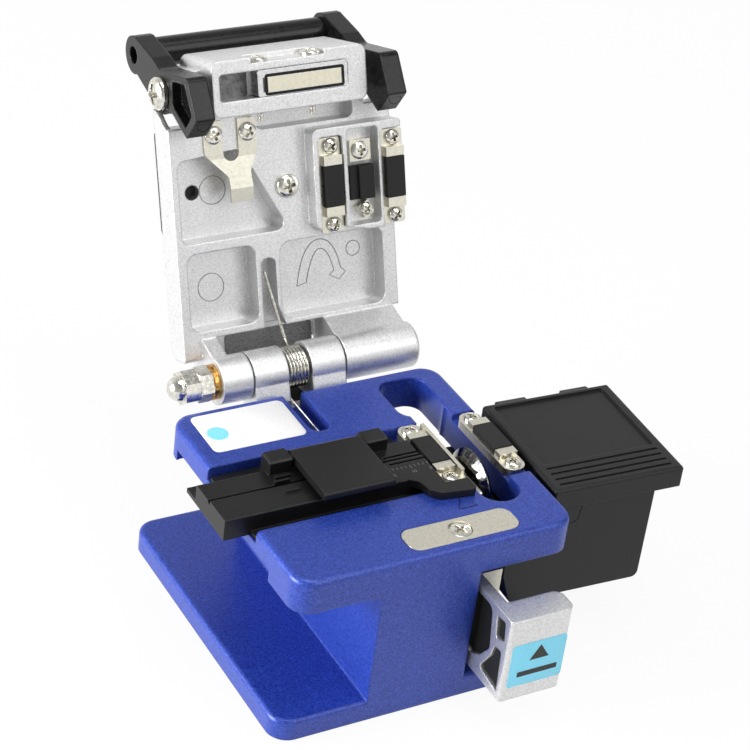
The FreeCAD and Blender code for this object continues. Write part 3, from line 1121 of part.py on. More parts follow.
def bin_lid():
    """A shallow cap with a recessed panel, four cross ribs and two hinge humps at the back."""
    shell = flat(rect(BIN_LID_LEFT, BIN_LID_RIGHT, BIN_LID_FRONT, BIN_LID_BACK, 0.6), BIN_LID_UNDER,
                 BIN_LID_TOP)
    cap = shell.makeFillet(0.8, edges_at(shell, BIN_LID_TOP))
    inside = box(BIN_LID_LEFT + 1.4, BIN_LID_RIGHT - 1.4, BIN_LID_FRONT + 1.4, BIN_LID_BACK - 1.4,
                 BIN_LID_UNDER - 1,
                 BIN_LID_TOP - 1.6)
    panel = flat(rect(BIN_LID_LEFT + 2.0, BIN_LID_RIGHT - 2.2, BIN_LID_FRONT + 9.2, BIN_LID_BACK - 1.4,
                      0.8),
                 BIN_LID_TOP - 0.5, BIN_LID_TOP + 1)
    first, second = BIN_HUMPS
    notch = box(first[0] + first[1], second[0], BIN_LID_BACK - 2, BIN_LID_BACK + 3, BIN_LID_UNDER - 1,
                BIN_LID_TOP - 1.6)
    tools = [inside, panel, notch]
    for number in range(4):
        front = BIN_LID_FRONT + 1.6 + 1.9 * number
        tools.append(flat(rect(BIN_LID_LEFT + 2.0, BIN_LID_RIGHT - 2.2, front, front + 0.7, 0.3),
                          BIN_LID_TOP - 0.4,
                          BIN_LID_TOP + 1))
    body = cap.cut(tools)
    humps = []
    for left, width in BIN_HUMPS:
        hump = side([(BIN_LID_BACK - 1.2, BIN_PIN_Z - 1.7), (BIN_PIN_Y + 1.2, BIN_PIN_Z - 1.4, 0.8),
                     (BIN_PIN_Y + 1.4, BIN_LID_TOP - 0.8, 0.8), (BIN_LID_BACK - 1.2,
                                                                 BIN_LID_TOP - 0.3)], left, left + width)
        humps.append(hump)
    body = join([body] + humps)
    bore = rod(Vector(BIN_HUMPS[0][0] + 0.9, BIN_PIN_Y, BIN_PIN_Z), X,
               BIN_HUMPS[1][0] + BIN_HUMPS[1][1] - BIN_HUMPS[0][0] - 1.8,
               BIN_PIN_R + RUNNING)
    return yawed(cut(body, [bore]))


# ---- Export ----
def closed_lid_nodes():
    nodes = {
        "lid_casting": lid_casting(),
        "lid_back_cover": back_cover(),
        "lid_centre_screw": centre_screw(),
        "magnet_bracket": magnet_bracket(),
        "magnet": magnet(),
        "magnet_screws": magnet_screws(),
        "leaf_clip": leaf_clip(),
        "leaf_clip_screws": clip_screws(),
        "lid_pad_screws": lid_pad_screws(),
        "anvil_brackets": anvil_brackets(),
        "anvil_screws": anvil_screws(),
        "anvil_block": anvil_block(),
        "lever_left_arm": lever_arm(ARM_LEFT),
        "lever_right_arm": lever_arm(ARM_RIGHT - ARM_WIDTH),
        "lever_bar": lever_bar(),
        "lever_pivot_screws": pivot_screws(),
    }
    for name, x in (("left", PAD_LEFT_X), ("right", PAD_RIGHT_X)):
        nodes["lid_pad_tray_" + name] = lid_pad_tray(x)
        nodes["lid_rubber_pad_" + name] = lid_pad(x)
    return nodes


def standing_nodes():
    nodes = {
        "base_casting": base_casting(),
        "hinge_bracket": hinge_bracket(),
        "hinge_bracket_screws": bracket_screws(),
        "hinge_shaft": hinge_shaft(),
        "hinge_washer": hinge_washer(),
        "hinge_lock_nut": lock_nut(),
        "hinge_acorn_nut": acorn_nut(),
        "lid_torsion_spring": torsion_spring(),
        "keeper_plate": keeper_plate(),
        "keeper_screw": keeper_screw(),
        "base_pad_screws": base_pad_screws(),
        "fibre_holder": fibre_holder(),
        "fibre_clamp_pin": clamp_pin(),
        "fibre_clamp_lid": clamp_lid(),
        "slide_rail": slide_rail(),
        "slide_rail_screws": rail_screws(),
        "push_slider": push_slider(),
        "wheel_carriage": carriage(),
        "wheel_axle": wheel_axle(),
        "blade_wheel": blade_wheel(),
        "scrap_bin": bin_box(),
        "scrap_bin_lid": bin_lid(),
        "scrap_bin_pin": bin_pin(),
    }
    nodes["base_pad_tray_left"] = base_pad_tray(PAD_LEFT_X, CHANNEL_FLOOR, SLOT_LEFT - TRAY_RIM, PAD_TOP)
    nodes["base_pad_tray_right"] = base_pad_tray(PAD_RIGHT_X, TRAY_FLOOR, SLOT_RIGHT, BASE_TRAY_TOP)
    nodes["base_rubber_pad_left"] = base_pad(PAD_LEFT_X)
    nodes["base_rubber_pad_right"] = base_pad(PAD_RIGHT_X)
    return nodes


def as_one(shapes):
    return Part.makeCompound(shapes) if isinstance(shapes, list) else shapes


def main():
    os.makedirs("parts", exist_ok=True)
    nodes = standing_nodes()
    for name, shapes in closed_lid_nodes().items():
        nodes[name] = opened(as_one(shapes))
    for name, shapes in nodes.items():
        shape = as_one(shapes).copy()
        shape.translate(-ORIGIN)
        shape.exportStep("parts/" + name + ".step")


main()
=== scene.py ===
import json
import math

import bmesh
import bpy
from mathutils import Matrix, Vector


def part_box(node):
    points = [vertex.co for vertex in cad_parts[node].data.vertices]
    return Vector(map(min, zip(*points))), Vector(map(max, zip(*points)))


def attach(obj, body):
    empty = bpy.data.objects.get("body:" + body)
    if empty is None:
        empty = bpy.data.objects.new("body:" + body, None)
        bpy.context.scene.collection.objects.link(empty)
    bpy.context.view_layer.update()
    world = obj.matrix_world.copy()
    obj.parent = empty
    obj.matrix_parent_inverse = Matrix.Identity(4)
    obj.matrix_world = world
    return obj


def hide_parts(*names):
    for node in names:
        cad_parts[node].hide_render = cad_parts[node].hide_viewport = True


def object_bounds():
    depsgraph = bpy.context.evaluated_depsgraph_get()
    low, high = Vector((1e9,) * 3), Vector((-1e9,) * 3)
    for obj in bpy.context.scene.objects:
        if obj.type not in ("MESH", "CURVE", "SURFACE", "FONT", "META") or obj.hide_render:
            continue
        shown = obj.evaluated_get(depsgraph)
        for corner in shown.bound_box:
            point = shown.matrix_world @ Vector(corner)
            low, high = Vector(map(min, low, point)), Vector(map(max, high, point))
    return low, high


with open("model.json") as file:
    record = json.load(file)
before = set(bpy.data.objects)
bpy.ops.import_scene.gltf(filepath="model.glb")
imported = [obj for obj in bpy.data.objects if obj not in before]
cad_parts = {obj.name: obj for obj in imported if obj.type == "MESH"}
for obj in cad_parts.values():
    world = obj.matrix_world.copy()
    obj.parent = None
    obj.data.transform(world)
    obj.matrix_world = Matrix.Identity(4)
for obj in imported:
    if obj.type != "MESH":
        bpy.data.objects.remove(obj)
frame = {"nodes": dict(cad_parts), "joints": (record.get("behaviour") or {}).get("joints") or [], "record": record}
cad_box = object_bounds()

# ---- Sizes and places, in millimetres ----
MM = 0.001
DECK_LENGTH = 63.0       # the deck ends where the casting does, so this gives its left edge
DECK_TOP = 39.3
POCKET_FLOOR = -9.7      # of the lid's pockets, outwards from the hinge axis
SLIDER_FRONT = -12.0
SPRING_SPLIT = 5.2       # how far from the hinge axis the spring's upper leg is parted from its coil
ABOVE_HOLDER = 42.0      # a height over the fibre holder from which its marks are dropped on it
LABEL_THICK = 0.08
INK_THICK = 0.02
SCALE_INK_THICK = 0.006
ENGRAVED_LINE = 0.2
THREAD_PITCH = 0.55
BIN_TURN = -2.85         # the bin's front, in degrees
SCREW_TURN_STEP = 37     # how much further each screw of a set is turned than the one before

# ---- Studio, in metres ----
CAMERA_PLACE = (-0.21805, -0.34281, 0.32164)
CAMERA_AHEAD = (0.453586, 0.706766, -0.542902)
CAMERA_ROLL = 7.7801     # in degrees
CAMERA_LENS = 115.83     # in millimetres, on the sensor below
SENSOR_WIDTH = 36.0
KEY_SIDE = (0.45, -0.88, 0.12)    # from the object towards the bright side of the studio
LAMP_SIZE = 0.6
FLOOR_DROP = 0.0003
FLOOR_WHITENESS = 0.93   # the rest of the floor shows the shadow
AMBIENT = 0.25


# ---- Shader maths ----
class Value:
    """A shader socket that joins in Python arithmetic through Math nodes."""

    def __init__(self, finish, socket):
        self.finish = finish
        self.socket = socket

    def maths(self, operation, first, second):
        return self.finish.node("ShaderNodeMath", {"operation": operation}, {0: first, 1: second})

    def __add__(self, other):
        return self.maths("ADD", self, other)

    def __sub__(self, other):
        return self.maths("SUBTRACT", self, other)

    def __rsub__(self, other):
        return self.maths("SUBTRACT", other, self)

    def __mul__(self, other):
        return self.maths("MULTIPLY", self, other)

    __radd__ = __add__
    __rmul__ = __mul__


class Finish:
    """One procedural material: its principled shader and the nodes that feed it."""

    def __init__(self, name, roughness, metallic=0.0, **constants):
        self.material = bpy.data.materials.new(name)
        self.material.use_nodes = True
        self.tree = self.material.node_tree
        self.shader = self.tree.nodes["Principled BSDF"]
        self.place = self.node("ShaderNodeTexCoord", output="Object")
        self.shader.inputs["Roughness"].default_value = roughness
        self.shader.inputs["Metallic"].default_value = metallic
        for socket, number in constants.items():
            self.shader.inputs[socket.replace("_", " ")].default_value = number

    def put(self, socket, value):
        """A value on a socket: another node's output, a colour or a number."""
        if isinstance(value, Value):
            self.tree.links.new(value.socket, socket)
        elif socket.type == "RGBA" and len(value) == 3:
            socket.default_value = (*value, 1.0)
        else:
            socket.default_value = value

    def node(self, kind, settings=(), sockets=(), output=0):
        """A new node with its settings made and its sockets fed."""
        made = self.tree.nodes.new(kind)
        for name, setting in dict(settings).items():
            setattr(made, name, setting)
        for name, value in dict(sockets).items():
            self.put(made.inputs[name], value)
        return Value(self, made.outputs[output])

    def noise(self, scale, detail=2.0, stretch=(1.0, 1.0, 1.0)):
        where = self.node("ShaderNodeMapping", {}, {"Vector": self.place, "Scale": stretch})
        return self.node("ShaderNodeTexNoise", {}, {"Vector": where, "Scale": scale, "Detail": detail})

    def grains(self, scale):
        cells = {"Vector": self.place, "Scale": scale}
        return self.node("ShaderNodeTexVoronoi", {}, cells, "Color")

    def spread(self, value, low, high, to_low=0.0, to_high=1.0):
        ends = {"From Min": low, "From Max": high, "To Min": to_low, "To Max": to_high}
        return self.node("ShaderNodeMapRange", {}, {"Value": value, **ends})

    def mix(self, factor, first, second):
        sockets = {0: factor, 6: first, 7: second}
        return self.node("ShaderNodeMix", {"data_type": "RGBA"}, sockets, 2)

    def feed(self, name, value):
        self.put(self.shader.inputs[name], value)

    def bump(self, height, distance, strength, rounding):
        """Grain over edges that catch the light as if they were rounded."""
        round_normal = self.node("ShaderNodeBevel", {"samples": 6}, {"Radius": rounding})
        sockets = {"Height": height, "Distance": distance, "Strength": strength, "Normal": round_normal}
        self.feed("Normal", self.node("ShaderNodeBump", {}, sockets))


def srgb(red, green, blue):
    """A colour given as it looks, 0 to 255, in the linear numbers that a shader takes."""
    return tuple(((level / 255 + 0.055) / 1.055) ** 2.4 if level > 10 else level / 3294.6
                 for level in (red, green, blue))


# ---- Finishes ----
def flake_paint(name, deep, light, roughness, metallic, grain, rounding, **constants):
    """A powder coat or cast skin with fine sparkling grains."""
    made = Finish(name, roughness, metallic, **constants)
    grains = made.node("ShaderNodeSeparateColor", {}, {"Color": made.grains(grain)})
    speckle = made.noise(grain * 0.55, 2.0)
    shade = made.spread(grains * 0.5 + speckle * 0.5, 0.2, 0.8)
    made.feed("Base Color", made.mix(shade, deep, light))
    made.feed("Roughness", made.spread(grains, 0.0, 1.0, roughness - 0.05, roughness + 0.05))
    made.bump(grains * 0.3 + speckle, 0.00003, 0.4, rounding)
    return made


def worked_metal(name, dark, bright, roughness, stretch=(1.0, 1.0, 1.0), rounding=0.00012):
    """Turned, plated or rolled metal with faint tool lines."""
    made = Finish(name, roughness, 1.0)
    lines = made.noise(1400.0, 3.0, stretch)
    made.feed("Base Color", made.mix(made.spread(lines, 0.3, 0.7), dark, bright))
    made.feed("Roughness", made.spread(lines, 0.25, 0.75, roughness - 0.05, roughness + 0.06))
    made.bump(lines, 0.000003, 0.3, rounding)
    return made


def moulded(name, dark, light, roughness, grain, depth, rounding=0.00025, **constants):
    """Plastic, rubber, paper or anodised metal with a fine even grain."""
    made = Finish(name, roughness, **constants)
    grains = made.noise(grain, 2.0)
    made.feed("Base Color", made.mix(made.spread(grains, 0.3, 0.7), dark, light))
    made.feed("Roughness", made.spread(grains, 0.3, 0.7, roughness - 0.05, roughness + 0.05))
    made.bump(grains, depth, 0.6, rounding)
    return made


def grey(value, warmth=0):
    """A neutral tone, or one that leans to straw."""
    return srgb(value + warmth, value + warmth * 0.6, value - warmth)


PLAIN_GLOSS = {"Specular_IOR_Level": 0.3}
finishes = {
    "blue_casting": flake_paint("blue_casting", srgb(14, 40, 134), srgb(52, 82, 184), 0.4, 0.3,
                                4200.0, 0.0008, Coat_Weight=0.3, Coat_Roughness=0.25),
    "silver_casting": flake_paint("silver_casting", grey(202), grey(236), 0.42, 0.9, 4600.0, 0.0005),
    # painted shade: a darker copy of the silver casting, for the notch wall that lies in shadow
    "painted_shade_casting": flake_paint("painted_shade_casting", grey(104), grey(150), 0.5, 0.7, 4600.0, 0.0005),
    "bright_steel": worked_metal("bright_steel", grey(196, 6), grey(238, 6), 0.16),
    "nickel_steel": worked_metal("nickel_steel", grey(204, 9), grey(218, 9), 0.3),
    # painted shade: dark brushed steel for the shadowed floor beside the magnet bracket
    "painted_shade_steel": worked_metal("painted_shade_steel", grey(84), grey(124), 0.36, (1.0, 0.06, 1.0)),
    "spring_steel": worked_metal("spring_steel", grey(176, 6), grey(232, 6), 0.16),
    "wheel_steel": worked_metal("wheel_steel", grey(44), grey(130), 0.1),
    "magnet_plate": worked_metal("magnet_plate", grey(202, 12), grey(214, 12), 0.36),
    "frame_silver": worked_metal("frame_silver", grey(206), grey(226), 0.28),
    "brass": worked_metal("brass", srgb(150, 104, 46), srgb(222, 176, 100), 0.22),
    "black_rubber": moulded("black_rubber", grey(26), grey(38), 0.62, 2200.0, 0.00003, **PLAIN_GLOSS),
    "black_anodised": moulded("black_anodised", grey(14), grey(28), 0.34, 3200.0, 0.00002,
                              **PLAIN_GLOSS),
    "black_plastic": moulded("black_plastic", grey(20), grey(32), 0.4, 2600.0, 0.00003, **PLAIN_GLOSS),
    "black_gloss": moulded("black_gloss", grey(12), grey(22), 0.24, 900.0, 0.00001, 0.0005,
                           **PLAIN_GLOSS),
    "label_paper": moulded("label_paper", grey(240), grey(248), 0.5, 1800.0, 0.00001),
    "label_cyan": moulded("label_cyan", srgb(132, 224, 252), srgb(142, 230, 255), 0.45, 1800.0, 0.00001),
    "label_ink": moulded("label_ink", grey(26), grey(40), 0.5, 1800.0, 0.00001),
    "scale_ink": moulded("scale_ink", grey(110), grey(136), 0.5, 1800.0, 0.00001),
    # painted shade: near-black for sheets put in gaps and hollows that lie in shadow
    "painted_shade_black": moulded("painted_shade_black", grey(12), grey(24), 0.6, 1800.0, 0.00002, **PLAIN_GLOSS),
    # painted shade: darker blue for the shade in an engraved groove
    "painted_groove_shade_blue": moulded("painted_groove_shade_blue", srgb(12, 26, 88), srgb(22, 38, 108), 0.5, 2600.0, 0.00002),
    # painted shade: darker silver for the shade along raised marks on the casting
    "painted_edge_shade_silver": moulded("painted_edge_shade_silver", grey(132), grey(160), 0.5, 2600.0, 0.00002,
                               Metallic=0.6),
}


def finish_nodes():
    """Each CAD node takes the finish of its material slot, apart from two that look different."""
    for part in frame["record"]["subparts"]:
        materials = frame["nodes"][part["node"]].data.materials
        materials.clear()
        materials.append(finishes[part["material_slot"]].material)
    for node, finish in (("blade_wheel", "wheel_steel"), ("magnet_bracket", "frame_silver")):
        frame["nodes"][node].data.materials[0] = finishes[finish].material


# ---- Placing and closing pieces ----
def deck_frame():
    """Millimetres from the deck's left front corner, with z up from the bench."""
    low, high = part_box("base_casting")
    return Matrix.Translation((high.x - DECK_LENGTH * MM, low.y, 0)) @ Matrix.Scale(MM, 4)


def lid_frame():
    """Millimetres across the lid, out along it from the hinge axis, and out of its open face."""
    hinge = next(joint for joint in frame["joints"] if joint["name"] == "lid_hinge")
    axis_point = Vector(hinge["pos_m"])
    axis_point.x = deck_frame().translation.x
    swing = Matrix.Rotation(math.radians(hinge["range_deg"][0] + 180), 4, "X")
    return Matrix.Translation(axis_point) @ swing @ Matrix.Scale(MM, 4)


def at(x, y, z, turn=0.0, axis="Z"):
    """A place in millimetres, turned by some degrees about one of its axes."""
    return Matrix.Translation((x, y, z)) @ Matrix.Rotation(math.radians(turn), 4, axis)


def link(name, data):
    """A new object in the scene."""
    made = bpy.data.objects.new(name, data)
    bpy.context.scene.collection.objects.link(made)
    return made


def close(name, parts, finish, body, sharp=35):
    """Pairs of a bmesh and the place that takes it to metres, made one piece that rides on a body."""
    shape = join(parts)
    bmesh.ops.remove_doubles(shape, verts=shape.verts[:], dist=1e-7)
    bmesh.ops.recalc_face_normals(shape, faces=shape.faces[:])
    mesh = bpy.data.meshes.new(name)
    shape.to_mesh(mesh)
    shape.free()
    mesh.polygons.foreach_set("use_smooth", [True] * len(mesh.polygons))
    mesh.set_sharp_from_angle(angle=math.radians(sharp))
    mesh.materials.append(finishes[finish].material)
    made = link(name, mesh)
    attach(made, body)
    return made


def join(parts):
    """Several bmeshes as one, each moved to its place."""
    whole = bmesh.new()
    for shape, place in parts:
        shape.transform(place)
        mesh = bpy.data.meshes.new("part")
        shape.to_mesh(mesh)
        shape.free()
        whole.from_mesh(mesh)
        bpy.data.meshes.remove(mesh)
    return whole


def round_edges(shape, edges, width, segments, affect="EDGES"):
    """Edges, or the corners of a flat sheet, rounded off."""
    bmesh.ops.bevel(shape, geom=edges, offset=width, segments=segments, profile=0.5, material=-1,
                    affect=affect, clamp_overlap=True)


def raise_faces(shape, height):
    """Every face pushed up into a closed slab."""
    grown = bmesh.ops.extrude_face_region(shape, geom=shape.faces[:])["geom"]
    top = [vert for vert in grown if isinstance(vert, bmesh.types.BMVert)]
    bmesh.ops.translate(shape, verts=top, vec=(0, 0, height))
    return top


def sheet(width, depth, corner):
    """A flat face with round corners, centred on its place."""
    shape = bmesh.new()
    bmesh.ops.create_grid(shape, x_segments=1, y_segments=1, size=0.5)
    bmesh.ops.scale(shape, verts=shape.verts[:], vec=(width, depth, 1))
    round_edges(shape, shape.verts[:], corner, 6, "VERTICES")
    return shape


def plate(width, depth, height, corner, edge=0.0):
    """A flat plate centred on its place, with round corners and a broken upper edge."""
    shape = sheet(width, depth, corner)
    top = set(raise_faces(shape, height))
    if edge:
        rim = [upper for upper in shape.edges if set(upper.verts) <= top]
        round_edges(shape, rim, edge, 3)
    return shape


def turned(profile, steps=32):
    """A profile of (radius, height) spun about the z axis."""
    shape = bmesh.new()
    points = [shape.verts.new((radius, 0, height)) for radius, height in profile]
    edges = [shape.edges.new(pair) for pair in zip(points, points[1:])]
    bmesh.ops.spin(shape, geom=points + edges, cent=(0, 0, 0), axis=(0, 0, 1), angle=2 * math.pi,
                   steps=steps, use_merge=True)
    bmesh.ops.remove_doubles(shape, verts=shape.verts[:], dist=1e-5)
    return shape


def ring(radius, width, height):
    """A thin raised ring, as an ejector pin leaves."""
    inner = radius - width
    return turned([(inner, 0), (inner, height), (radius, height), (radius, 0), (inner, 0)], 48)


# ---- Screws with a cross recess ----
def cross_cutter(arm, width, depth):
    """A tapered cross that cuts a driver's recess from z 0 downwards."""
    shape = bmesh.new()
    bmesh.ops.create_circle(shape, cap_ends=True, segments=4, radius=width * math.sqrt(0.5))
    square_on = Matrix.Rotation(math.pi / 4, 3, "Z")
    bmesh.ops.rotate(shape, verts=shape.verts[:], cent=(0, 0, 0), matrix=square_on)
    for edge in shape.edges[:]:
        out = (edge.verts[0].co + edge.verts[1].co).normalized() * arm
        grown = bmesh.ops.extrude_edge_only(shape, edges=[edge])["geom"]
        verts = [vert for vert in grown if isinstance(vert, bmesh.types.BMVert)]
        bmesh.ops.translate(shape, verts=verts, vec=out)
    bottom = raise_faces(shape, -depth)
    bmesh.ops.scale(shape, verts=bottom, vec=(0.6, 0.6, 1))
    top = [vert for vert in shape.verts if vert not in set(bottom)]
    bmesh.ops.translate(shape, verts=top, vec=(0, 0, depth))
    bmesh.ops.recalc_face_normals(shape, faces=shape.faces[:])
    return shape


def carve(shape, cutter):
    """One bmesh with another cut out of it."""
    holders = []
    for name, part in (("blank", shape), ("cutter", cutter)):
        bmesh.ops.recalc_face_normals(part, faces=part.faces[:])
        mesh = bpy.data.meshes.new(name)
        part.to_mesh(mesh)
        part.free()
        holders.append(link(name, mesh))
    difference = holders[0].modifiers.new("recess", "BOOLEAN")
    difference.object = holders[1]
    difference.operation = "DIFFERENCE"
    difference.solver = "EXACT"
    seen = holders[0].evaluated_get(bpy.context.evaluated_depsgraph_get())
    result = bmesh.new()
    cut_mesh = bpy.data.meshes.new_from_object(seen)
    result.from_mesh(cut_mesh)
    bpy.data.meshes.remove(cut_mesh)
    for holder in holders:
        mesh = holder.data
        bpy.data.objects.remove(holder)
        bpy.data.meshes.remove(mesh)
    return result


def pan_screw(radius, height, shank, length, threaded=False):
    """A pan head on z 0, domed upwards, over its shank."""
    dome = [(radius * math.cos(turn), height * (0.35 + 0.65 * math.sin(turn)))
            for turn in (math.radians(step * 15) for step in range(6))]
    thread = []
    if threaded:
        for turn in range(int((length - 1.0) / THREAD_PITCH)):
            top = -0.3 - turn * THREAD_PITCH
            thread += [(shank, top), (shank * 0.78, top - THREAD_PITCH / 2)]
    profile = [(0, -length), (shank * 0.8, -length)] + thread[::-1] + [(shank, 0), (radius * 0.97, 0)]
    head = turned(profile + dome + [(0, height)])
    cutter = cross_cutter(radius * 0.48, radius * 0.34, height * 0.7)
    cutter.transform(Matrix.Translation((0, 0, height * 0.45)))
    return carve(head, cutter)


def merged(node):
    """A copy of a CAD node's mesh with its doubled corners merged."""
    shape = bmesh.new()
    shape.from_mesh(frame["nodes"][node].data)
    bmesh.ops.remove_doubles(shape, verts=shape.verts[:], dist=1e-6)
    return shape


def solids_of(node):
    """The corner points of each separate solid of a CAD node."""
    shape = merged(node)
    left = set(shape.verts)
    found = []
    for first in shape.verts:
        if first not in left:
            continue
        left.remove(first)
        edge_of_search = [first]
        solid = []
        while edge_of_search:
            vert = edge_of_search.pop()
            solid.append(vert.co.copy())
            near = {edge.other_vert(vert) for edge in vert.link_edges} & left
            left -= near
            edge_of_search += near
        found.append(solid)
    shape.free()
    return found


def measure_screw(solid, level):
    """Where a screw's head seats, and its head radius, head height, shank radius and shank length."""
    local = [level.inverted() @ point / MM for point in solid]
    low = Vector([min(point[axis] for point in local) for axis in range(3)])
    high = Vector([max(point[axis] for point in local) for axis in range(3)])
    centre = (low + high) / 2
    spread = [(math.hypot(point.x - centre.x, point.y - centre.y), point.z) for point in local]
    radius = (high.x - low.x) / 2
    wide = [z for away, z in spread if away > radius * 0.9]
    seat = min(wide)
    shank = max([away for away, z in spread if z < (low.z + seat) / 2] or [radius])
    sizes = (radius, high.z - seat, shank, seat - low.z)
    at_seat = Vector((centre.x, centre.y, seat))
    return {"seat": at_seat, "sizes": sizes, "upside_down": max(wide) < centre.z}


def crossed_screws(node, head_up, body, turn=20, threaded=False):
    """The screws of a node remade with a driver's recess, each in its own place and size."""
    made = []
    for number, solid in enumerate(solids_of(node)):
        level = head_up.normalized().to_track_quat("Z", "Y").to_matrix().to_4x4()
        sized = measure_screw(solid, level)
        if sized["upside_down"]:
            level = (-head_up.normalized()).to_track_quat("Z", "Y").to_matrix().to_4x4()
            sized = measure_screw(solid, level)
        screw = pan_screw(*sized["sizes"], threaded)
        place = level @ Matrix.Scale(MM, 4) @ Matrix.Translation(sized["seat"])
        made.append((screw, place @ at(0, 0, 0, turn + SCREW_TURN_STEP * number)))
    piece = close(node + "_crossed", made, "bright_steel", body, 30)
    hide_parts(node)


def fit_screws():
    """Every screw that can be seen, with its head up from the face it holds."""
    up = Vector((0, 0, 1))
    out = lid_frame().to_3x3() @ Vector((0, 0, 1))
    along = lid_frame().to_3x3() @ Vector((0, 1, 0))
    crossed_screws("keeper_screw", up, "frame")
    crossed_screws("base_pad_screws", up, "frame")
    crossed_screws("lid_centre_screw", out, "lid", 10)
    crossed_screws("leaf_clip_screws", out, "lid")
    crossed_screws("lid_pad_screws", out, "lid", 30)
    crossed_screws("anvil_screws", out, "lid", 5)
    crossed_screws("magnet_screws", along, "lid", 0, True)
    crossed_screws("lever_pivot_screws", Vector((1, 0, 0)), "lid")


# ---- Spring ----
def split_spring():
    """The torsion spring parted just outside its coil, so that the upper leg swings with the lid."""
    place = lid_frame()
    level = place @ Vector((0, SPRING_SPLIT, 0))
    outward = (place.to_3x3() @ Vector((0, 1, 0))).normalized()
    for name, body in (("spring_coil", "frame"), ("spring_lid_leg", "lid")):
        shape = merged("lid_torsion_spring")
        everything = shape.verts[:] + shape.edges[:] + shape.faces[:]
        bmesh.ops.bisect_plane(shape, geom=everything, dist=1e-7, plane_co=level, plane_no=outward,
                               clear_inner=body == "lid", clear_outer=body == "frame")
        open_edges = [edge for edge in shape.edges if edge.is_boundary]
        bmesh.ops.holes_fill(shape, edges=open_edges)
        piece = close(name, [(shape, Matrix.Identity(4))], "spring_steel", body, 50)
        if body == "frame":
            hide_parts("lid_torsion_spring")


# ---- Lines, labels and marks ----
def shape_of(curve):
    """A curve or a text as a bmesh, with the curve itself removed."""
    holder = bpy.data.objects.new(curve.name, curve)
    mesh = bpy.data.meshes.new_from_object(holder)
    shape = bmesh.new()
    shape.from_mesh(mesh)
    bpy.data.meshes.remove(mesh)
    bpy.data.objects.remove(holder)
    bpy.data.curves.remove(curve)
    return shape


def drawn_line(points, thickness, smooth=False):
    """A round line through points, which are flat unless they give a height."""
    curve = bpy.data.curves.new("line", "CURVE")
    curve.dimensions = "3D"
    curve.bevel_depth = thickness / 2
    curve.bevel_resolution = 2
    curve.use_fill_caps = True
    spline = curve.splines.new("NURBS" if smooth else "POLY")
    spline.points.add(len(points) - 1)
    for knot, point in zip(spline.points, points):
        knot.co = (*Vector(point).to_3d(), 1)
    if smooth:
        spline.order_u = 3
        spline.use_endpoint_u = True
        spline.resolution_u = 10
    return shape_of(curve)


def number(words, height):
    """Plain figures as thin raised ink, centred from side to side on the place."""
    text = bpy.data.curves.new("figures", "FONT")
    text.body = words
    text.size = height
    text.extrude = 0.004
    text.align_x = "CENTER"
    return shape_of(text)


def triangle(width, height, thickness):
    """A flat triangle with its point towards y, centred on its place."""
    shape = bmesh.new()
    bmesh.ops.create_circle(shape, cap_ends=True, segments=3, radius=1.0)
    bmesh.ops.scale(shape, verts=shape.verts[:], vec=(width / math.sqrt(3), height / 1.5, 1))
    raise_faces(shape, thickness)
    return shape


def border(width, depth, height, corner, thickness):
    """A flat frame round a window, centred on its place."""
    shape = sheet(width, depth, corner)
    window = shape.faces[:]
    bmesh.ops.inset_region(shape, faces=window, thickness=thickness, use_boundary=True,
                           use_even_offset=True)
    bmesh.ops.delete(shape, geom=window, context="FACES")
    raise_faces(shape, height)
    return shape


def seat_on(node, place, reach=5.0):
    """The place moved along its own z axis until it rests on a CAD node, if there is one that way."""
    start = place @ Vector((0, 0, reach))
    down = (place @ Vector((0, 0, -reach)) - start).normalized()
    hit, point, _, _ = frame["nodes"][node].ray_cast(start, down)
    seated = place.copy()
    if hit:
        seated.translation = point
    return seated


def stick_deck_label():
    """The plain white label on the deck, with its disc."""
    place = deck_frame() @ at(14.2, 51.45, DECK_TOP)
    close("deck_label", [(plate(21.2, 13.2, LABEL_THICK, 1.4, 0.03), place)], "label_paper", "frame")
    printed = LABEL_THICK + INK_THICK
    disc = turned([(0, LABEL_THICK), (2.3, LABEL_THICK), (2.3, printed), (0, printed)])
    close("deck_label_disc", [(disc, deck_frame() @ at(6.9, 51.0, DECK_TOP))], "label_cyan", "frame")


def stick_push_label():
    """The label on the slider's front: a triangle over a plain bar."""
    place = deck_frame() @ at(49.8, SLIDER_FRONT, 15.9, 90, "X")
    close("push_label", [(plate(12.8, 10.7, LABEL_THICK, 0.7, 0.03), place)], "label_cyan", "carriage")
    arrow = (triangle(4.6, 3.5, INK_THICK), place @ at(0.3, 1.9, LABEL_THICK))
    bar = (plate(9.4, 1.3, INK_THICK, 0.2), place @ at(0.3, -2.4, LABEL_THICK))
    close("push_label_marks", [arrow, bar], "label_ink", "carriage")


def mark_deck():
    """A small engraved triangle beside the end of the wheel's slot, drawn in a darker blue as painted shade in its
    groove.
    """
    corners = [(41.6, 11.3), (45.8, 11.3), (43.7, 14.9), (41.6, 11.3)]
    close("deck_triangle", [(drawn_line(corners, 0.32), deck_frame() @ at(0, 0, DECK_TOP))],
          "painted_groove_shade_blue", "frame")


def mark_holder():
    """The fibre scale: a tick each millimetre, and a figure each five."""
    parts = []
    for step in range(10):
        length = 1.3 if step % 5 == 0 else 0.8
        above = deck_frame() @ at(33.0 + step, 26.0 - length / 2, ABOVE_HOLDER)
        parts.append((plate(0.12, length, SCALE_INK_THICK, 0.02), seat_on("fibre_holder", above)))
    for x, words in ((33.2, "15"), (37.9, "10"), (41.8, "5")):
        above = deck_frame() @ at(x, 23.3, ABOVE_HOLDER)
        parts.append((number(words, 1.2), seat_on("fibre_holder", above)))
    close("holder_scale", parts, "scale_ink", "frame")


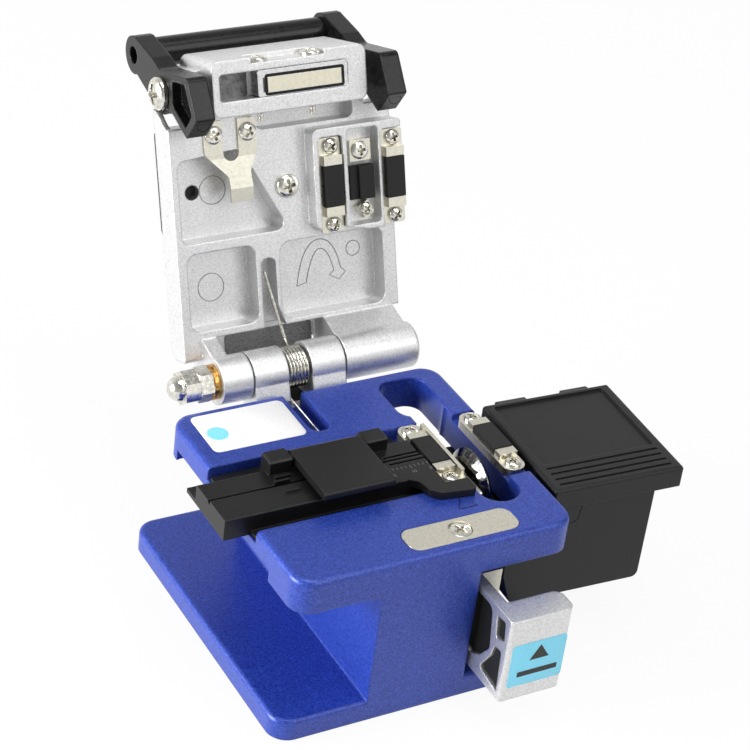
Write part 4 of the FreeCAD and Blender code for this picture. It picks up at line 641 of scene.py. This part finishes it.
def mark_lid():
    """Ejector pin rings and the raised closing arrow on the pocket floors, drawn in a darker silver as painted
    shade along their edges.
    """
    rings = []
    for x, reach, radius in ((20.6, 38.6, 3.1), (18.7, 17.8, 3.1), (53.3, 21.0, 1.75)):
        rings.append((ring(radius, 0.16, 0.05), lid_frame() @ at(x, reach, POCKET_FLOOR)))
    close("lid_pin_rings", rings, "painted_edge_shade_silver", "lid")
    outer = [(39.1, 14.6), (40.2, 20.8), (44.4, 25.0), (49.0, 22.6), (50.0, 17.2)]
    inner = [(41.4, 15.1), (42.4, 19.2), (44.9, 22.9), (47.6, 20.4), (48.3, 16.8)]
    head = [(50.0, 17.2), (51.2, 16.1), (49.5, 14.6), (47.2, 15.9), (48.3, 16.8)]
    place = lid_frame() @ at(0, 0, POCKET_FLOOR)
    arrow = [(drawn_line(outer, ENGRAVED_LINE, True), place),
             (drawn_line(inner, ENGRAVED_LINE, True), place),
             (drawn_line(head, ENGRAVED_LINE), place),
             (drawn_line([outer[0], inner[0]], ENGRAVED_LINE), place)]
    close("lid_arrow", arrow, "painted_edge_shade_silver", "lid")


def mark_spring_hole():
    """The bright end of the spring's lower leg, down in its hole in the deck."""
    dot = turned([(0, 0), (0.45, 0), (0.45, 0.2), (0.3, 0.34), (0, 0.38)])
    place = seat_on("base_casting", deck_frame() @ at(27.4, 46.8, ABOVE_HOLDER))
    close("spring_leg_end", [(dot, place)], "bright_steel", "frame")


def line_heel():
    """The wall at the back of the notch over the hinge, in a darker copy of the silver casting as painted shade,
    and the web under the spring, in near-black as painted shade.
    """
    web = deck_frame() @ at(31.55, 64.8, 34.4)
    # the web's near-black finish is painted shade behind the spring
    close("spring_web", [(plate(5.5, 9.2, 0.4, 0.3), web)], "painted_shade_black", "frame")
    place = lid_frame() @ at(31.4, 3.6, POCKET_FLOOR - 1.9)
    wall = plate(21.0, 6.4, 1.95, 0.8)
    # the wall plate's darker casting is painted shade
    close("lid_heel_wall", [(wall, place)], "painted_shade_casting", "lid")


def dress_magnet():
    """Painted shade: a near-black border in the gap round the magnet, and a dark sheet on the floor of the recess
    beside its bracket.
    """
    # the border round the magnet is painted shade in its gap
    gap = seat_on("magnet_bracket", lid_frame() @ at(28.6, 61.05, 0))
    gap.translation += lid_frame().to_3x3() @ Vector((10.0, 0, 0))
    close("magnet_gap_shade", [(border(18.6, 4.5, 0.05, 0.6, 0.62), gap)], "painted_shade_black", "lid")
    # a dark sheet on the recess floor beside the bracket: painted shade
    floor = seat_on("lid_casting", lid_frame() @ at(23.4, 61.4, 0), 12.0)
    close("nose_recess_shade", [(plate(7.6, 5.6, 0.05, 0.6), floor)], "painted_shade_steel", "lid")


def mark_lever():
    """Ejector pin rings on the broad faces of both arms."""
    for side, x in (("left", 13.05), ("right", 57.65)):
        lever = "lever_" + side
        place = seat_on(lever + "_arm", deck_frame() @ at(x, 82.6, 94.5, 90, "X"), 12.0)
        mark = ring(1.5, 0.14, 0.04)
        close(lever + "_ring", [(mark, place)], "black_gloss", "lever")


def mark_bin():
    """The outline of a small tab on the bin's front."""
    outline = [(-1.9, 2.0), (1.9, 2.0), (1.4, -1.4), (0.2, -2.2), (-1.9, -1.8)]
    place = deck_frame() @ at(69.9, 5.0, 31.0, BIN_TURN)
    seated = seat_on("scrap_bin", place @ at(0, 0, 0, 90, "X"), 20.0)
    close("bin_tab_line", [(drawn_line(outline, 0.16), seated)], "black_gloss", "frame")


def bend_anvil_wire():
    """The fine spring wire that holds the anvil against its plates."""
    line = [(47.4, 42.0, -5.0), (47.9, 38.4, -5.4), (48.6, 36.6, -6.0), (49.6, 33.6, -6.6),
            (50.6, 32.6, -7.0)]
    close("anvil_wire", [(drawn_line(line, 0.5), lid_frame())], "spring_steel", "lid")


def shade_slider_hollow():
    """A near-black sheet behind the slider's windows: painted shade in its hollow."""
    place = deck_frame() @ at(43.0, -3.9, 17.3, 90, "Y")
    # painted shade inside the slider
    close("slider_shade_sheet", [(plate(18.0, 15.0, 0.2, 0.8), place)], "painted_shade_black", "carriage")


# ---- Stage ----
def joined(tree, operation, first, second, clamp=False):
    """Two sockets, or a socket and a number, joined by a Math node."""
    made = tree.nodes.new("ShaderNodeMath")
    made.operation = operation
    made.use_clamp = clamp
    tree.links.new(first, made.inputs[0])
    if isinstance(second, float):
        made.inputs[1].default_value = second
    else:
        tree.links.new(second, made.inputs[1])
    return made.outputs[0]


def ranged(tree, source, low, high, to_low, to_high):
    """A socket's range mapped to another."""
    made = tree.nodes.new("ShaderNodeMapRange")
    tree.links.new(source, made.inputs["Value"])
    ends = {"From Min": low, "From Max": high, "To Min": to_low, "To Max": to_high}
    for name, number in ends.items():
        made.inputs[name].default_value = number
    return made.outputs[0]


def white_when_seen(tree, shader, share, level=None):
    """The shader mixed with white for the camera, and by level for glossy and transmission rays."""
    ray = tree.nodes.new("ShaderNodeLightPath")
    mirrored = joined(tree, "ADD", ray.outputs["Is Glossy Ray"], ray.outputs["Is Transmission Ray"], True)
    if level:
        mirrored = joined(tree, "MULTIPLY", mirrored, level, True)
    in_view = joined(tree, "ADD", ray.outputs["Is Camera Ray"], mirrored, True)
    seen = joined(tree, "MULTIPLY", in_view, share, True)
    white = tree.nodes.new("ShaderNodeBackground" if level else "ShaderNodeEmission")
    white.inputs["Color"].default_value = (1, 1, 1, 1)
    white.inputs["Strength"].default_value = 1.0
    mix = tree.nodes.new("ShaderNodeMixShader")
    tree.links.new(seen, mix.inputs[0])
    tree.links.new(shader, mix.inputs[1])
    tree.links.new(white.outputs[0], mix.inputs[2])
    return mix.outputs[0]


def lay_floor():
    """A pale floor that keeps the shadow."""
    shape = bmesh.new()
    bmesh.ops.create_grid(shape, x_segments=1, y_segments=1, size=4.0)
    mesh = bpy.data.meshes.new("floor")
    shape.to_mesh(mesh)
    shape.free()
    floor = link("floor", mesh)
    floor.location.z = cad_box[0].z - FLOOR_DROP
    paint = bpy.data.materials.new("floor_paint")
    paint.use_nodes = True
    tree = paint.node_tree
    diffuse = tree.nodes.new("ShaderNodeBsdfDiffuse")
    diffuse.inputs["Color"].default_value = (0.9, 0.9, 0.9, 1)
    seen = white_when_seen(tree, diffuse.outputs[0], FLOOR_WHITENESS)
    tree.links.new(seen, tree.nodes["Material Output"].inputs[0])
    mesh.materials.append(paint)


def light_world():
    """White for the camera; mirrors see a bright key side and back wall under a dim ceiling."""
    world = bpy.data.worlds.new("studio")
    bpy.context.scene.world = world
    world.use_nodes = True
    tree = world.node_tree
    dim = tree.nodes["Background"]
    dim.inputs["Color"].default_value = (1, 1, 1, 1)
    dim.inputs["Strength"].default_value = AMBIENT
    towards = tree.nodes.new("ShaderNodeTexCoord")
    split = tree.nodes.new("ShaderNodeSeparateXYZ")
    tree.links.new(towards.outputs["Generated"], split.inputs[0])
    key = tree.nodes.new("ShaderNodeVectorMath")
    key.operation = "DOT_PRODUCT"
    key.inputs[1].default_value = KEY_SIDE
    tree.links.new(towards.outputs["Generated"], key.inputs[0])

    front = ranged(tree, key.outputs["Value"], 0.75, 0.98, 0.25, 1.2)
    behind = ranged(tree, split.outputs["Y"], -0.1, 0.4, 0.0, 1.0)
    height = ranged(tree, split.outputs["Z"], 0.2, 0.9, 1.0, 0.4)
    level = joined(tree, "MULTIPLY", joined(tree, "MAXIMUM", front, behind), height)
    seen = white_when_seen(tree, dim.outputs[0], 1.0, level)
    tree.links.new(seen, tree.nodes["World Output"].inputs[0])


def hang_lamp(name, place, watts):
    """A square softbox that looks at the middle of the object."""
    lamp = bpy.data.lights.new(name, "AREA")
    lamp.shape = "SQUARE"
    lamp.size = LAMP_SIZE
    lamp.energy = watts
    holder = link(name, lamp)
    holder.location = place
    centre = (cad_box[0] + cad_box[1]) / 2
    holder.rotation_mode = "QUATERNION"
    holder.rotation_quaternion = (centre - Vector(place)).to_track_quat("-Z", "Y")


def set_camera():
    """The camera, with its roll about the line of sight."""
    lens = bpy.data.cameras.new("camera")
    lens.lens = CAMERA_LENS
    lens.sensor_width = SENSOR_WIDTH
    lens.clip_start = 0.01
    lens.clip_end = 20.0
    camera = link("camera", lens)
    camera.location = CAMERA_PLACE
    roll = Matrix.Rotation(math.radians(CAMERA_ROLL), 3, "Z").to_quaternion()
    camera.rotation_mode = "QUATERNION"
    camera.rotation_quaternion = Vector(CAMERA_AHEAD).to_track_quat("-Z", "Y") @ roll
    bpy.context.scene.camera = camera


finish_nodes()
fit_screws()
stick_deck_label()
stick_push_label()
mark_deck()
mark_holder()
mark_lid()
bend_anvil_wire()
shade_slider_hollow()
split_spring()
mark_spring_hole()
line_heel()
dress_magnet()
mark_lever()
mark_bin()
set_camera()
lay_floor()
light_world()
hang_lamp("left_softbox", (-0.9, 0.16, 0.2), 18.0)
hang_lamp("front_softbox", (0.36, -0.72, 0.8), 3.0)
hang_lamp("top_softbox", (0.05, -0.05, 1.0), 4.0)
bpy.context.scene.view_settings.view_transform = "Standard"
